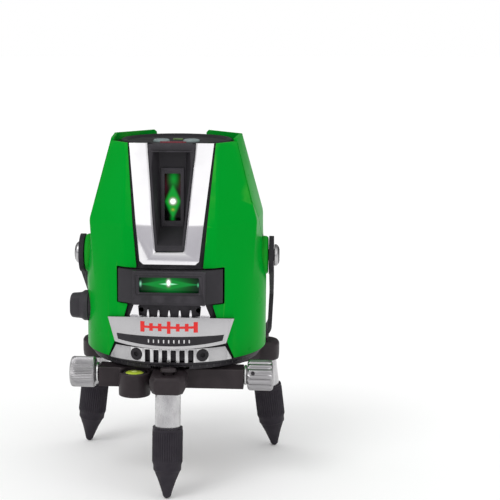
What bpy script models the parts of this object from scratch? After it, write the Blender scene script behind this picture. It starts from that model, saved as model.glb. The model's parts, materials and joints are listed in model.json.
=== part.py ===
"""Cross-line laser level with a turning head on its own three-legged levelling base.

Lengths are metres and +Z is up. The origin is on the floor, below the axis that the head turns about,
and the windows face -Y. Heights here are counted from a datum under the floor; piece() brings each
finished shape down by FLOOR_Z. Every sub-part is one object in the collection "laser_level"; the shapes that
cut or join them are in "helpers". Empties mark the joints, and the moving pieces hang from them.
"""

import math

import bmesh
import bpy
from mathutils import Matrix, Vector

FLOOR_Z = 0.0030  # the floor's height above the datum

# ---- clearances -------------------------------------------------------------------------------
GAP = 0.0003  # between two pieces that touch on the real object
RUNNING = 0.0003  # radial play of a pin or shaft in its hole

# ---- head: plan outlines at four heights (half plans, front centre to rear centre) --------------
PANEL_BOTTOM_Z = 0.0913
DRUM_TOP_Z = 0.140
KNEE_Z = 0.183
FRONT_TOP_Z = 0.236
REAR_TOP_Z = 0.238
DRUM_R = 0.063
KNEE_PLAN = [(0, -0.058), (0.031, -0.058), (0.057, -0.034), (0.060, 0.020), (0.024, 0.058), (0, 0.058)]
TOP_PLAN = [(0, -0.043), (0.031, -0.043), (0.043, -0.027), (0.0455, 0.0125), (0.018, 0.043), (0, 0.043)]
PLAN_SPANS = [2, 3, 5, 4, 2]  # straight pieces between one plan corner and the next
PANEL_T = 0.0022
CHASSIS_INSET = 0.0026
CHASSIS_T = 0.0022
CHASSIS_TOP_Z = 0.229
PANEL_GAP = 0.0012  # dark joint line between panels

# ---- chrome U bezel and the window recess in it --------------------------------------------------
BEZEL_BOTTOM_Z = 0.1578
BEZEL_HALF_TOP, BEZEL_HALF_BOTTOM = 0.0283, 0.0195
PANEL_FOOT_HALF = 0.0222  # the front panels' edge beside the foot of the U
MOUTH_BOTTOM_Z = 0.1654
MOUTH_HALF_TOP, MOUTH_HALF_BOTTOM = 0.0163, 0.0095
BEZEL_PROUD = 0.0008
BEZEL_T = 0.0026
RECESS_BACK_Y = -0.0350
V_WINDOW = (0.0054, 0.1827, 0.2148)  # half width, bottom, top

# ---- horizontal window, vents, badge and lower bezel ---------------------------------------------
HOUSING_Z = (0.1306, 0.1533)
HOUSING_FACE_Y = -0.0650
HOUSING_HALF, EAR_HALF = 0.0240, 0.0350
H_WINDOW = (0.0198, 0.1389, 0.1491)
VENT_Z = (0.1212, 0.1301)
BADGE_R = (0.0634, 0.0660)
LOWER_BEZEL_Z = (0.0914, 0.1008)
LOWER_BEZEL_R = (0.0612, 0.0646)
SLOT_PITCH = 0.0058
SCREW_X, SCREW_Z = 0.0220, 0.0962

# ---- carry handle and lock knob ------------------------------------------------------------------
HANDLE_AXIS_Z = 0.154
HANDLE_DROP = math.radians(44)  # below level, behind the head, at rest
HANDLE_REACH = 0.1203  # pivot to the middle of the grip
HANDLE_T, HANDLE_W = 0.0030, 0.0082
BOSS_R, BOSS_X = 0.0135, 0.0643
DOOR_HALF = 0.0318
LOCK_Y, LOCK_Z = -0.0125, 0.1185
LOCK_CRANK = 0.0018

# ---- gimbal and pendulum -------------------------------------------------------------------------
GIMBAL_Z = 0.208
V_LASER_Z, H_LASER_Z = 0.1965, 0.1440

# ---- tripod base ---------------------------------------------------------------------------------
BASE_TOP_Z = 0.0850
BASE_BOTTOM_Z = 0.0700
TIP_RADIUS_FROM_AXIS = 0.0812
LEG_SPLAY = math.radians(8)
LEG_ANGLES = {"front": 0.0, "right": 120.0, "left": 240.0}
POST_R = 0.0085
KEY_X = 0.0104  # mode keys, either side of the middle
SLEEVE_R = 0.0103
BORE_R = POST_R + 0.00045
SLEEVE_TOP_S = 0.0497  # along the leg, from the datum
BAR_Y = -0.0440
SHAFT_Z = 0.0788
KNOB_X = (0.0517, 0.0692)
KNOB_R = 0.0105
VIAL_XY = (-0.024, -0.0565)
VIAL_CUP_R, VIAL_CUP_Z = 0.01075, (0.0670, 0.0832)
DIAL_R = 0.0585
SKIRT_R = 0.0612

COLOURS = {
    "green_shell": ((0.0, 0.33, 0.026), 0.28, 0.0),
    "black_plastic": ((0.035, 0.031, 0.038), 0.55, 0.0),
    "black_casting": ((0.040, 0.034, 0.038), 0.50, 0.2),
    "chrome": ((0.82, 0.82, 0.84), 0.12, 1.0),
    "aluminium": ((0.66, 0.65, 0.67), 0.32, 1.0),
    "steel": ((0.60, 0.60, 0.60), 0.30, 1.0),
    "rubber": ((0.030, 0.028, 0.032), 0.75, 0.0),
    "window_glass": ((0.02, 0.45, 0.12), 0.05, 0.0),
    "button_grey": ((0.50, 0.56, 0.55), 0.35, 0.0),
    "vial_fluid": ((0.55, 0.72, 0.06), 0.10, 0.0),
    "brass": ((0.75, 0.55, 0.25), 0.30, 1.0),
    "copper": ((0.80, 0.42, 0.28), 0.30, 1.0),
    "board_green": ((0.02, 0.20, 0.08), 0.50, 0.0),
    "battery_blue": ((0.05, 0.12, 0.30), 0.45, 0.0),
}


# ---- scene and objects ---------------------------------------------------------------------------
def clear_scene():
    for item in list(bpy.data.objects):
        bpy.data.objects.remove(item, do_unlink=True)


def new_collection(name):
    made = bpy.data.collections.new(name)
    bpy.context.scene.collection.children.link(made)
    return made


def make_materials():
    made = {}
    for name, (colour, roughness, metallic) in COLOURS.items():
        item = bpy.data.materials.new(name)
        item.use_nodes = True
        shader = item.node_tree.nodes["Principled BSDF"]
        shader.inputs["Base Color"].default_value = (*colour, 1.0)
        shader.inputs["Roughness"].default_value = roughness
        shader.inputs["Metallic"].default_value = metallic
        made[name] = item
    return made


clear_scene()
PARTS = new_collection("laser_level")
HELPERS = new_collection("helpers")
MATERIALS = make_materials()


def helper(name, mesh):
    """A mesh object that only cuts or joins until piece() takes it."""
    item = bpy.data.objects.new(name, mesh)
    HELPERS.objects.link(item)
    item.hide_render = True
    item.display_type = "WIRE"
    return item


def lower(item, done):
    """Moves an item down by FLOOR_Z, with everything that cuts or joins it, once each."""
    if item in done:
        return
    done.add(item)
    item.matrix_world = Matrix.Translation((0, 0, -FLOOR_Z)) @ item.matrix_world
    for change in item.modifiers:
        if change.type == "BOOLEAN":
            lower(change.object, done)


def piece(item, name, colour, smooth=35):
    """Turns a helper into a finished sub-part, and brings it and its cutters down to the floor."""
    HELPERS.objects.unlink(item)
    PARTS.objects.link(item)
    lower(item, set())
    item.hide_render = False
    item.display_type = "TEXTURED"
    item.name = name
    item.data.name = name
    item.data.materials.clear()
    item.data.materials.append(MATERIALS[colour])
    item.data.shade_smooth()
    item.data.set_sharp_from_angle(angle=math.radians(smooth))
    return item


def from_bmesh(name, shape):
    bmesh.ops.recalc_face_normals(shape, faces=shape.faces)
    mesh = bpy.data.meshes.new(name)
    shape.to_mesh(mesh)
    shape.free()
    return helper(name, mesh)


def combine(item, other, operation):
    change = item.modifiers.new(operation.lower(), "BOOLEAN")
    change.operation = operation
    change.object = other
    return item


def cut(item, *others):
    for other in others:
        combine(item, other, "DIFFERENCE")
    return item


def join(item, *others):
    for other in others:
        combine(item, other, "UNION")
    return item


def keep(item, *others):
    for other in others:
        combine(item, other, "INTERSECT")
    return item


# ---- basic shapes --------------------------------------------------------------------------------
def block(low, high, name="block"):
    shape = bmesh.new()
    low, high = Vector(low), Vector(high)
    place = Matrix.Translation((low + high) / 2) @ Matrix.Diagonal((*(high - low), 1))
    bmesh.ops.create_cube(shape, size=1, matrix=place)
    return from_bmesh(name, shape)


def aimed(direction):
    """The rotation that turns +Z to this direction."""
    return Vector(direction).to_track_quat("Z", "Y").to_matrix().to_4x4()


def rod(start, end, radius, radius_end=None, segments=20, name="rod"):
    start, end = Vector(start), Vector(end)
    shape = bmesh.new()
    bmesh.ops.create_cone(
        shape,
        cap_ends=True,
        segments=segments,
        radius1=radius,
        radius2=radius if radius_end is None else radius_end,
        depth=(end - start).length,
        matrix=Matrix.Translation((start + end) / 2) @ aimed(end - start),
    )
    return from_bmesh(name, shape)


def hull(points, name="hull"):
    shape = bmesh.new()
    for point in points:
        shape.verts.new(point)
    bmesh.ops.convex_hull(shape, input=shape.verts)
    return from_bmesh(name, shape)


def turned(profile, place, steps=24, closed=False, name="turned"):
    """A profile of (radius, height) points turned about +Z of the matrix, top to bottom on the outside."""
    shape = bmesh.new()
    corners = [shape.verts.new((radius, 0, height)) for radius, height in profile]
    for first, second in zip(corners, corners[1:]):
        shape.edges.new((first, second))
    if closed:
        shape.edges.new((corners[-1], corners[0]))
    mesh = bpy.data.meshes.new(name)
    shape.to_mesh(mesh)
    shape.free()
    item = helper(name, mesh)
    item.matrix_world = place
    spin = item.modifiers.new("turn", "SCREW")
    spin.steps = spin.render_steps = steps
    spin.use_merge_vertices = True
    spin.merge_threshold = 0.00001
    return item


def ring(inner, outer, low, high, place=None, steps=32, name="ring"):
    profile = [(outer, high), (outer, low), (inner, low), (inner, high)]
    return turned(profile, place or Matrix.Identity(4), steps, closed=True, name=name)


def plate(outline, low, high, facing="Z", name="plate"):
    """A flat outline drawn from `low` to `high` along one axis: (x, y), (x, z) or (y, z) points."""
    curve = bpy.data.curves.new(name, "CURVE")
    curve.dimensions = "2D"
    curve.fill_mode = "BOTH"
    curve.extrude = (high - low) / 2
    spline = curve.splines.new("POLY")
    spline.points.add(len(outline) - 1)
    for point, (across, up) in zip(spline.points, outline):
        point.co = (across, up, 0, 1)
    spline.use_cyclic_u = True
    drawn = bpy.data.objects.new(name, curve)
    HELPERS.objects.link(drawn)
    middle = (low + high) / 2
    drawn.matrix_world = {
        "Z": Matrix.Translation((0, 0, middle)),
        "Y": Matrix.Translation((0, middle, 0)) @ Matrix.Rotation(math.pi / 2, 4, "X"),
        "X": Matrix.Translation((middle, 0, 0))
        @ Matrix(((0, 0, 1, 0), (1, 0, 0, 0), (0, 1, 0, 0), (0, 0, 0, 1))),
    }[facing]
    bpy.context.view_layer.update()
    evaluated = drawn.evaluated_get(bpy.context.evaluated_depsgraph_get())
    shape = bmesh.new()
    flat = bpy.data.meshes.new_from_object(evaluated)
    shape.from_mesh(flat)
    shape.transform(drawn.matrix_world)
    bmesh.ops.remove_doubles(shape, verts=shape.verts, dist=0.000001)
    bpy.data.objects.remove(drawn)
    return from_bmesh(name, shape)


def loft(rings, name="loft", tube=False):
    """Closed rings of equally many points joined in order; a tube joins the last to the first."""
    shape = bmesh.new()
    rows = [[shape.verts.new(point) for point in points] for points in rings]
    pairs = list(zip(rows, rows[1:]))
    if tube:
        pairs.append((rows[-1], rows[0]))
    for lower, upper in pairs:
        for i in range(len(lower)):
            j = (i + 1) % len(lower)
            shape.faces.new((lower[i], lower[j], upper[j], upper[i]))
    if not tube:
        shape.faces.new(rows[0])
        shape.faces.new(rows[-1])
    bmesh.ops.recalc_face_normals(shape, faces=shape.faces)
    bmesh.ops.triangulate(shape, faces=[face for face in shape.faces if len(face.verts) == 4])
    return from_bmesh(name, shape)


# ---- head outline --------------------------------------------------------------------------------
def blend(first, second, share):
    return first + (second - first) * share


def drum_point(corner):
    """Where a knee corner comes down to on the round drum."""
    return math.atan2(corner[0], -corner[1])


def half_plan(z):
    """Points (x, y) of the right half of the head's outline at height z."""
    if z >= KNEE_Z:
        share = (z - KNEE_Z) / (FRONT_TOP_Z - KNEE_Z)
        corners = [
            (blend(a[0], b[0], share), blend(a[1], b[1], share)) for a, b in zip(KNEE_PLAN, TOP_PLAN)
        ]
        roundness = 0.0
    else:
        corners = KNEE_PLAN
        roundness = min(1.0, (KNEE_Z - z) / (KNEE_Z - DRUM_TOP_Z))
    points = []
    for index, spans in enumerate(PLAN_SPANS):
        first, second = corners[index], corners[index + 1]
        turn_a, turn_b = drum_point(first), drum_point(second)
        for step in range(spans):
            share = step / spans
            turn = blend(turn_a, turn_b, share)
            straight = (blend(first[0], second[0], share), blend(first[1], second[1], share))
            arc = (DRUM_R * math.sin(turn), -DRUM_R * math.cos(turn))
            points.append(
                (blend(straight[0], arc[0], roundness), blend(straight[1], arc[1], roundness))
            )
    last = (corners[-1][0], blend(corners[-1][1], DRUM_R, roundness))
    return points + [last]


def head_ring(z, inset=0.0):
    right = half_plan(z)
    whole = right + [(-x, y) for x, y in reversed(right[1:-1])]
    points = []
    for x, y in whole:
        reach = math.hypot(x, y)
        scale = (reach - inset) / reach
        points.append((x * scale, y * scale, z))
    return points


SHELL_LEVELS = [PANEL_BOTTOM_Z, 0.108, 0.124, DRUM_TOP_Z, 0.151, 0.167, KNEE_Z, 0.201, 0.219, REAR_TOP_Z]


def head_shell(inset, thickness, levels):
    outside = [head_ring(z, inset) for z in levels]
    inside = [head_ring(z, inset + thickness) for z in reversed(levels)]
    return loft(outside + inside, "shell", tube=True)


def half_bezel(z):
    share = (z - BEZEL_BOTTOM_Z) / (FRONT_TOP_Z - BEZEL_BOTTOM_Z)
    return blend(BEZEL_HALF_BOTTOM, BEZEL_HALF_TOP, share)


def half_mouth(z):
    share = (z - MOUTH_BOTTOM_Z) / (FRONT_TOP_Z - MOUTH_BOTTOM_Z)
    return blend(MOUTH_HALF_BOTTOM, MOUTH_HALF_TOP, share)


def front_y(z, proud=0.0):
    """The flat front of the head between the crease lines."""
    if z >= KNEE_Z:
        share = (z - KNEE_Z) / (FRONT_TOP_Z - KNEE_Z)
        return blend(KNEE_PLAN[0][1], TOP_PLAN[0][1], share) - proud
    share = (KNEE_Z - z) / (KNEE_Z - DRUM_TOP_Z)
    return blend(KNEE_PLAN[0][1], -DRUM_R, share) - proud


# ---- green panels --------------------------------------------------------------------------------
# where the front and rear panels part on the side, as (y, z)
PARTING = [(-0.0270, 0.25), (-0.0270, 0.236), (-0.0325, 0.196), (0.003, 0.158), (0.003, 0.08)]


def front_panel_outline(side):
    """The front panel seen from the front: its inner edge follows the bezel, window ears and badge."""
    inner = [
        (half_bezel(FRONT_TOP_Z) + PANEL_GAP, FRONT_TOP_Z),
        (PANEL_FOOT_HALF, HOUSING_Z[1] + PANEL_GAP),
        (EAR_HALF + PANEL_GAP, HOUSING_Z[1] + PANEL_GAP),
        (EAR_HALF + PANEL_GAP, HOUSING_Z[0] - PANEL_GAP),
        (0.0285, HOUSING_Z[0] - PANEL_GAP),
        (0.0310, 0.1210),
        (0.0372, 0.1050),
        (0.0430, 0.0905),
    ]
    outline = inner + [(0.070, 0.0905), (0.070, FRONT_TOP_Z)]
    return [(side * x, z) for x, z in outline]


def rear_panel_outline(side):
    inner = [
        (0.0180, REAR_TOP_Z + 0.001),
        (0.0180, 0.1780),
        (0.0220, 0.1740),
        (0.0330, 0.1740),
        (0.0330, 0.0905),
    ]
    outline = inner + [(0.070, 0.0905), (0.070, REAR_TOP_Z + 0.001)]
    return [(side * x, z) for x, z in outline]


def side_region(front):
    """The (y, z) region in front of the parting line, or behind it."""
    half = PANEL_GAP / 2
    edge = [(y - half if front else y + half, z) for y, z in PARTING]
    far = -0.080 if front else 0.080
    return edge + [(far, 0.08), (far, 0.25)]


def panel(side, front, name):
    item = head_shell(0.0, PANEL_T, SHELL_LEVELS)
    outline = front_panel_outline(side) if front else rear_panel_outline(side)
    reach = (-0.085, 0.025) if front else (-0.040, 0.085)
    span = (0.005, 0.080) if side > 0 else (-0.080, -0.005)
    keep(item, plate(outline, *reach, facing="Y"))
    keep(item, plate(side_region(front), *span, facing="X"))
    if front:
        axis = (0, HANDLE_AXIS_Z)
        join(item, rod((side * 0.0609, *axis), (side * BOSS_X, *axis), BOSS_R))
        cut(item, rod((side * 0.050, *axis), (side * 0.070, *axis), 0.0040 + GAP))
    else:
        cut(item, rod((side * 0.050, 0, HANDLE_AXIS_Z), (side * 0.070, 0, HANDLE_AXIS_Z), BOSS_R + PANEL_GAP))
    if front and side < 0:
        axis = (LOCK_Y, LOCK_Z)
        cut(item, rod((-0.045, *axis), (-0.075, *axis), 0.0113, segments=28))
    return piece(item, name, "green_shell")


def make_panels():
    for word, side in (("left", -1), ("right", 1)):
        panel(side, True, f"panel_front_{word}")
        panel(side, False, f"panel_rear_{word}")


# ---- chassis and covers --------------------------------------------------------------------------
def recess_outline(grow):
    """The bezel's mouth seen from the front, grown by a margin on every side."""
    top = FRONT_TOP_Z + 0.004
    right = [(half_mouth(top) + grow, top), (half_mouth(MOUTH_BOTTOM_Z) + grow, MOUTH_BOTTOM_Z - grow)]
    return [(-x, z) for x, z in right] + [(x, z) for x, z in reversed(right)]


def make_chassis():
    levels = [0.0918] + SHELL_LEVELS[1:-1] + [CHASSIS_TOP_Z]
    item = head_shell(CHASSIS_INSET, CHASSIS_T, levels)
    join(item, rod((-0.0550, LOCK_Y, LOCK_Z), (-0.0603, LOCK_Y, LOCK_Z), 0.0109, segments=28))
    cut(item, plate(recess_outline(0.0008), -0.080, -0.030, facing="Y"))
    window_z = (HOUSING_Z[0] - 0.0004, HOUSING_Z[1] + 0.0004)
    cut(item, block((-0.0355, -0.080, window_z[0]), (0.0355, -0.045, window_z[1])))
    cut(item, block((-0.0285, 0.040, 0.1030), (0.0285, 0.075, 0.1680)))
    cut(item, rod((-0.040, LOCK_Y, LOCK_Z), (-0.070, LOCK_Y, LOCK_Z), 0.0040 + RUNNING))
    for x, z in ((-0.0190, 0.1258), (0.0190, 0.1258)):
        cut(item, rod((x, -0.070, z), (x, -0.045, z), 0.0016, segments=10))
    for side in (-1, 1):
        axis = (0, HANDLE_AXIS_Z)
        cut(item, rod((side * 0.045, *axis), (side * 0.070, *axis), 0.0040 + GAP))
        cut(item, radial_rod(side * SCREW_X, SCREW_Z, 0.050, 0.070, 0.0018 + GAP))
    return piece(item, "head_chassis", "black_plastic")


def radial_rod(x, z, near, far, radius, segments=16):
    """A rod that points out of the drum at this x."""
    turn = math.asin(x / 0.0640)
    out = Vector((math.sin(turn), -math.cos(turn), 0))
    lift = Vector((0, 0, z))
    return rod(out * near + lift, out * far + lift, radius, segments=segments)


def make_top_cover():
    low, mid, high = CHASSIS_TOP_Z + GAP, 0.2316, 0.2330
    body = loft([head_ring(low, 0.0026), head_ring(mid, 0.0026), head_ring(high, 0.0040)])
    cap = [(0, 0.2350), (0.0375, 0.2350), (0.0388, 0.2338), (0.0388, 0.2310), (0, 0.2310)]
    dish = [(0, 0.2400), (0.0345, 0.2400), (0.0338, 0.2338), (0, 0.2336)]
    join(body, turned(cap, Matrix.Identity(4), 48))
    cut(body, turned(dish, Matrix.Identity(4), 48))
    cut(body, block((-0.0185, -0.060, 0.220), (0.0185, -0.0320, 0.245)))
    for side in (-1, 1):
        cut(body, rod((side * KEY_X, -0.004, 0.220), (side * KEY_X, -0.004, 0.240), 0.0055, segments=28))
    cut(body, block((-0.0038, 0.0092, 0.220), (0.0038, 0.0138, 0.240)))
    return piece(body, "top_cover", "black_plastic")


def make_u_bezel():
    side_view = []
    for proud in (BEZEL_PROUD, BEZEL_PROUD - BEZEL_T):
        row = [(front_y(z, proud), z) for z in (BEZEL_BOTTOM_Z, KNEE_Z, FRONT_TOP_Z)]
        side_view += row if proud == BEZEL_PROUD else row[::-1]
    item = plate(side_view, -0.030, 0.030, facing="X")
    top, bottom = FRONT_TOP_Z + 0.002, BEZEL_BOTTOM_Z - 0.0005
    nick = 0.0022  # cut corners at the foot of the U
    right = [
        (half_bezel(top), top),
        (half_bezel(bottom + nick), bottom + nick),
        (half_bezel(bottom) - nick, bottom),
    ]
    outline = [(-x, z) for x, z in right] + [(x, z) for x, z in reversed(right)]
    keep(item, plate(outline, -0.080, -0.030, facing="Y"))
    cut(item, plate(recess_outline(0.0), -0.080, -0.030, facing="Y"))
    return piece(item, "u_bezel", "chrome")


def recess_solid(inset, back, sill, top, proud):
    """The tapered hollow behind the bezel's mouth: its floor slopes up from the mouth to the back."""
    low = MOUTH_BOTTOM_Z + inset
    points = []
    for side in (-1, 1):
        for z in (low, KNEE_Z, top):
            points.append((side * (half_mouth(z) - inset), front_y(z, proud), z))
        points.append((side * (0.0100 - inset / 2), back, top))
        points.append((side * (0.0086 - inset / 2), back, sill))
    return hull(points)


def make_vertical_window():
    wall = 0.0014
    body = recess_solid(GAP, RECESS_BACK_Y + 0.0022, 0.1762, 0.2352, -0.0004)
    cut(body, recess_solid(wall, RECESS_BACK_Y, 0.1794, 0.2316, 0.0060))
    half, low, high = V_WINDOW
    join(body, cut(
        block((-half - 0.0031, RECESS_BACK_Y - 0.0008, low - 0.0040),
              (half + 0.0031, RECESS_BACK_Y + 0.0010, high + 0.0038)),
        block((-half, -0.040, low), (half, -0.030, high))))
    cut(body, block((-half, -0.042, low), (half, -0.025, high)))
    piece(body, "vertical_window_recess", "black_plastic")
    back = RECESS_BACK_Y + 0.0022 + GAP
    glass = block((-half - 0.0015, back, low - 0.0015), (half + 0.0015, back + 0.0015, high + 0.0015))
    piece(glass, "vertical_window_glass", "window_glass")


def housing_outline(inset, back):
    right = [
        (HOUSING_HALF - inset, HOUSING_FACE_Y + inset),
        (HOUSING_HALF - inset, -0.0618 + inset),
        (EAR_HALF - inset, -0.0545 + inset),
        (EAR_HALF - inset, back),
    ]
    return [(-x, y) for x, y in reversed(right)] + right


def make_horizontal_window():
    low, high = HOUSING_Z
    body = plate(housing_outline(0.0, -0.0500), low, high)
    cut(body, plate(housing_outline(0.0020, -0.0450), low + 0.0020, high - 0.0020))
    half, bottom, top = H_WINDOW
    cut(body, block((-half, -0.070, bottom), (half, -0.055, top)))
    piece(body, "horizontal_window_housing", "black_plastic")
    back = HOUSING_FACE_Y + 0.0020 + GAP
    glass = block((-half - 0.0006, back, bottom - 0.0020), (half + 0.0006, back + 0.0014, top + 0.0020))
    piece(glass, "horizontal_window_glass", "window_glass")


def drum_plate(outline, inner, outer, steps=96):
    """A plate with this front outline, bent round the drum between two radii."""
    low = min(z for _, z in outline) - 0.005
    high = max(z for _, z in outline) + 0.005
    item = ring(inner, outer, low, high, steps=steps)
    return keep(item, plate(outline, -0.080, -0.030, facing="Y"))


def make_vent():
    low, high = VENT_Z
    item = drum_plate([(-0.0272, low), (0.0272, low), (0.0238, high), (-0.0238, high)], 0.0608, 0.0632)
    slots = 6
    pitch = 0.0071
    for index in range(slots):
        x = (index - (slots - 1) / 2) * pitch
        cut(item, block((x - 0.0027, -0.070, low + 0.0010), (x + 0.0027, -0.055, high - 0.0014)))
    return piece(item, "upper_vent_grille", "chrome")


def bowed(half, z_side, z_middle, steps=10):
    """A bowed edge from -half to +half."""
    points = []
    for step in range(steps + 1):
        share = 2 * step / steps - 1
        points.append((half * share, z_middle + (z_side - z_middle) * share * share))
    return points


def make_badge():
    outline = bowed(0.0375, 0.1030, 0.1010) + bowed(0.0427, 0.1192, 0.1228)[::-1]
    return piece(drum_plate(outline, *BADGE_R), "badge_plate", "chrome")


def make_lower_bezel():
    low, high = LOWER_BEZEL_Z
    item = drum_plate([(-0.0416, low), (0.0416, low), (0.0368, high), (-0.0368, high)], *LOWER_BEZEL_R)
    for index in range(6):
        x = (index - 2.5) * SLOT_PITCH
        cut(item, block((x - 0.0016, -0.070, 0.0930), (x + 0.0016, -0.055, 0.0999)))
    for side in (-1, 1):
        cut(item, radial_rod(side * SCREW_X, SCREW_Z, 0.0622, 0.070, 0.0040 + GAP))
        cut(item, radial_rod(side * SCREW_X, SCREW_Z, 0.050, 0.070, 0.0018 + GAP))
    piece(item, "lower_bezel", "chrome")
    for word, side in (("left", -1), ("right", 1)):
        screw = radial_rod(side * SCREW_X, SCREW_Z, 0.0625, 0.0652, 0.0040)
        join(screw, radial_rod(side * SCREW_X, SCREW_Z, 0.0540, 0.0630, 0.0018, segments=12))
        cut(screw, radial_rod(side * SCREW_X, SCREW_Z, 0.0636, 0.070, 0.0019, segments=6))
        piece(screw, f"bezel_screw_{word}", "black_plastic")


def make_skirt():
    """The head's bottom plate, with the hub that the head turns on."""
    profile = [
        (SKIRT_R, 0.0909), (SKIRT_R, 0.0892), (SKIRT_R - 0.0006, 0.0887), (0.0300, 0.0887), (0.0300, 0.0875),
        (0.0103, 0.0875), (0.0103, 0.0909), (0.0123, 0.0909), (0.0123, 0.0960), (0.0143, 0.0960),
        (0.0143, 0.0909),
    ]
    item = turned(profile, Matrix.Identity(4), 64, closed=True)
    return piece(item, "base_skirt", "black_plastic")


# ---- inside the head -----------------------------------------------------------------------------
def make_gimbal():
    low, high = GIMBAL_Z - 0.0040, GIMBAL_Z + 0.0040
    yoke = block((-0.0405, -0.0210, low), (0.0405, 0.0210, high))
    cut(yoke, block((-0.0205, -0.0192, 0.190), (0.0205, 0.0192, 0.230)))
    cut(yoke, rod((-0.060, 0, GIMBAL_Z), (0.060, 0, GIMBAL_Z), 0.0015 + RUNNING, segments=12))
    piece(yoke, "gimbal_yoke", "aluminium")
    moving = ring(0.0135, 0.0172, GIMBAL_Z - 0.0030, GIMBAL_Z + 0.0030)
    for side in (-1, 1):
        join(moving, rod((side * 0.0160, 0, GIMBAL_Z), (side * 0.0300, 0, GIMBAL_Z), 0.0015, segments=12))
    cut(moving, rod((0, -0.030, GIMBAL_Z), (0, 0.030, GIMBAL_Z), 0.0012 + RUNNING, segments=12))
    piece(moving, "gimbal_ring", "steel")
    body = block((-0.0070, -0.0070, 0.1127), (0.0070, 0.0070, 0.2120))
    join(body, rod((0, -0.0165, GIMBAL_Z), (0, 0.0165, GIMBAL_Z), 0.0012, segments=12))
    piece(body, "pendulum_body", "aluminium")


def make_laser_module(name, z, front):
    profile = [
        (0, 0.0), (0.0040, 0.0), (0.0040, -0.0030), (0.0062, -0.0030),
        (0.0062, front + 0.0073), (0, front + 0.0073),
    ]
    place = Matrix.Translation((0, front, z)) @ Matrix.Rotation(math.pi / 2, 4, "X")
    item = turned(profile, place, 20)
    return piece(item, name, "brass")


def make_pendulum_parts():
    make_laser_module("vertical_laser_module", V_LASER_Z, -0.0290)
    make_laser_module("horizontal_laser_module", H_LASER_Z, -0.0480)
    piece(rod((0, 0, 0.1102), (0, 0, 0.1124), 0.0200, segments=32), "damping_plate", "copper")
    magnet = rod((0, 0, 0.0963), (0, 0, 0.1050), 0.0130, segments=24)
    piece(magnet, "damping_magnet", "steel")


def make_lock():
    """The lock knob turns a crank pin, whose slot lifts the plunger ring under the damping plate."""
    axis = (LOCK_Y, LOCK_Z)
    profile = [
        (0, 0.0738), (0.0072, 0.0738), (0.0086, 0.0726), (0.0092, 0.0664), (0.0104, 0.0644),
        (0.0107, 0.0638), (0.0107, 0.0607), (0, 0.0607),
    ]
    place = Matrix.Translation((0, *axis)) @ Matrix.Rotation(-math.pi / 2, 4, "Y")
    grip = turned(profile, place, 28)
    for near, far in ((-0.0200, -0.0062), (0.0062, 0.0200)):
        flat = block((-0.080, LOCK_Y + near, LOCK_Z - 0.020), (-0.0668, LOCK_Y + far, LOCK_Z + 0.020))
        cut(grip, flat)
    join(grip, rod((-0.0612, *axis), (-0.0300, *axis), 0.0040, segments=16))
    pin = (LOCK_Y + LOCK_CRANK * math.cos(math.pi / 4), LOCK_Z - LOCK_CRANK * math.sin(math.pi / 4))
    join(grip, rod((-0.0310, *pin), (-0.0262, *pin), 0.0015, segments=12))
    piece(grip, "lock_knob", "black_plastic")
    plunger = ring(0.0150, 0.0240, 0.0975, 0.1060)
    join(plunger, block((-0.0292, LOCK_Y - 0.0070, 0.0980), (-0.0265, LOCK_Y + 0.0090, 0.1225)))
    join(plunger, block((-0.0275, LOCK_Y - 0.0020, 0.0980), (-0.0120, LOCK_Y + 0.0080, 0.1050)))
    cut(plunger, rod((0, 0, 0.090), (0, 0, 0.120), 0.0150, segments=32))
    y, z = pin
    cut(plunger, block((-0.040, y - 0.0035, z - 0.0019), (-0.020, y + 0.0035, z + 0.0019)))
    piece(plunger, "lock_plunger", "black_plastic")


def make_electronics():
    board = block((-0.0300, -0.0270, 0.2205), (0.0300, 0.0190, 0.2221))
    for side in (-1, 1):
        x = side * KEY_X
        join(board, rod((x, -0.004, 0.2215), (x, -0.004, 0.2240), 0.0028, segments=12))
    piece(board, "circuit_board", "board_green")
    pack = block((-0.0255, 0.0290, 0.1045), (0.0255, 0.0485, 0.1660))
    piece(pack, "battery_pack", "battery_blue")


def make_buttons():
    for word, side in (("left", -1), ("right", 1)):
        place = Matrix.Translation((side * KEY_X, -0.004, 0))
        profile = [
            (0, 0.2362), (0.0036, 0.2362), (0.0050, 0.2354), (0.0052, 0.2345), (0.0052, 0.2285),
            (0.0066, 0.2285), (0.0066, 0.2262), (0, 0.2262),
        ]
        piece(turned(profile, place, 24), f"mode_button_{word}", "button_grey")
    lamp = block((-0.0035, 0.0095, 0.2295), (0.0035, 0.0135, 0.2342))
    piece(lamp, "power_lamp", "window_glass")


def make_battery_door():
    """A curved door over the battery opening, hung on its lower edge."""
    item = head_shell(0.0, PANEL_T, SHELL_LEVELS)
    low, high, half = 0.0990, 0.1725, DOOR_HALF
    keep(item, plate([(-half, low), (half, low), (half, high), (-half, high)], 0.030, 0.080, facing="Y"))
    cut(item, rod((-0.0090, 0.0625, 0.1655), (0.0090, 0.0625, 0.1655), 0.0018, segments=16))
    return piece(item, "battery_door", "black_plastic")


# ---- carry handle --------------------------------------------------------------------------------
def handle_path():
    """Points (x, reach) along one arm of the handle, from the pivot to the middle of the grip."""
    side_end, corner_x, middle_x = 0.0900, 0.0300, 0.0650
    points = [(0.0665, 0.0), (0.0667, 0.030), (0.0660, 0.060)]
    steps = 9
    for step in range(steps + 1):
        turn = step / steps * math.pi / 2
        x = corner_x + (middle_x - corner_x) * math.cos(turn)
        reach = side_end + (HANDLE_REACH - side_end) * math.sin(turn)
        points.append((x, reach))
    return points + [(0.0, HANDLE_REACH)]


def handle_matrix():
    """Turns +Y, the handle's own reach, down behind the head about the pivot axis."""
    return Matrix.Translation((0, 0, HANDLE_AXIS_Z)) @ Matrix.Rotation(-HANDLE_DROP, 4, "X")


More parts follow.
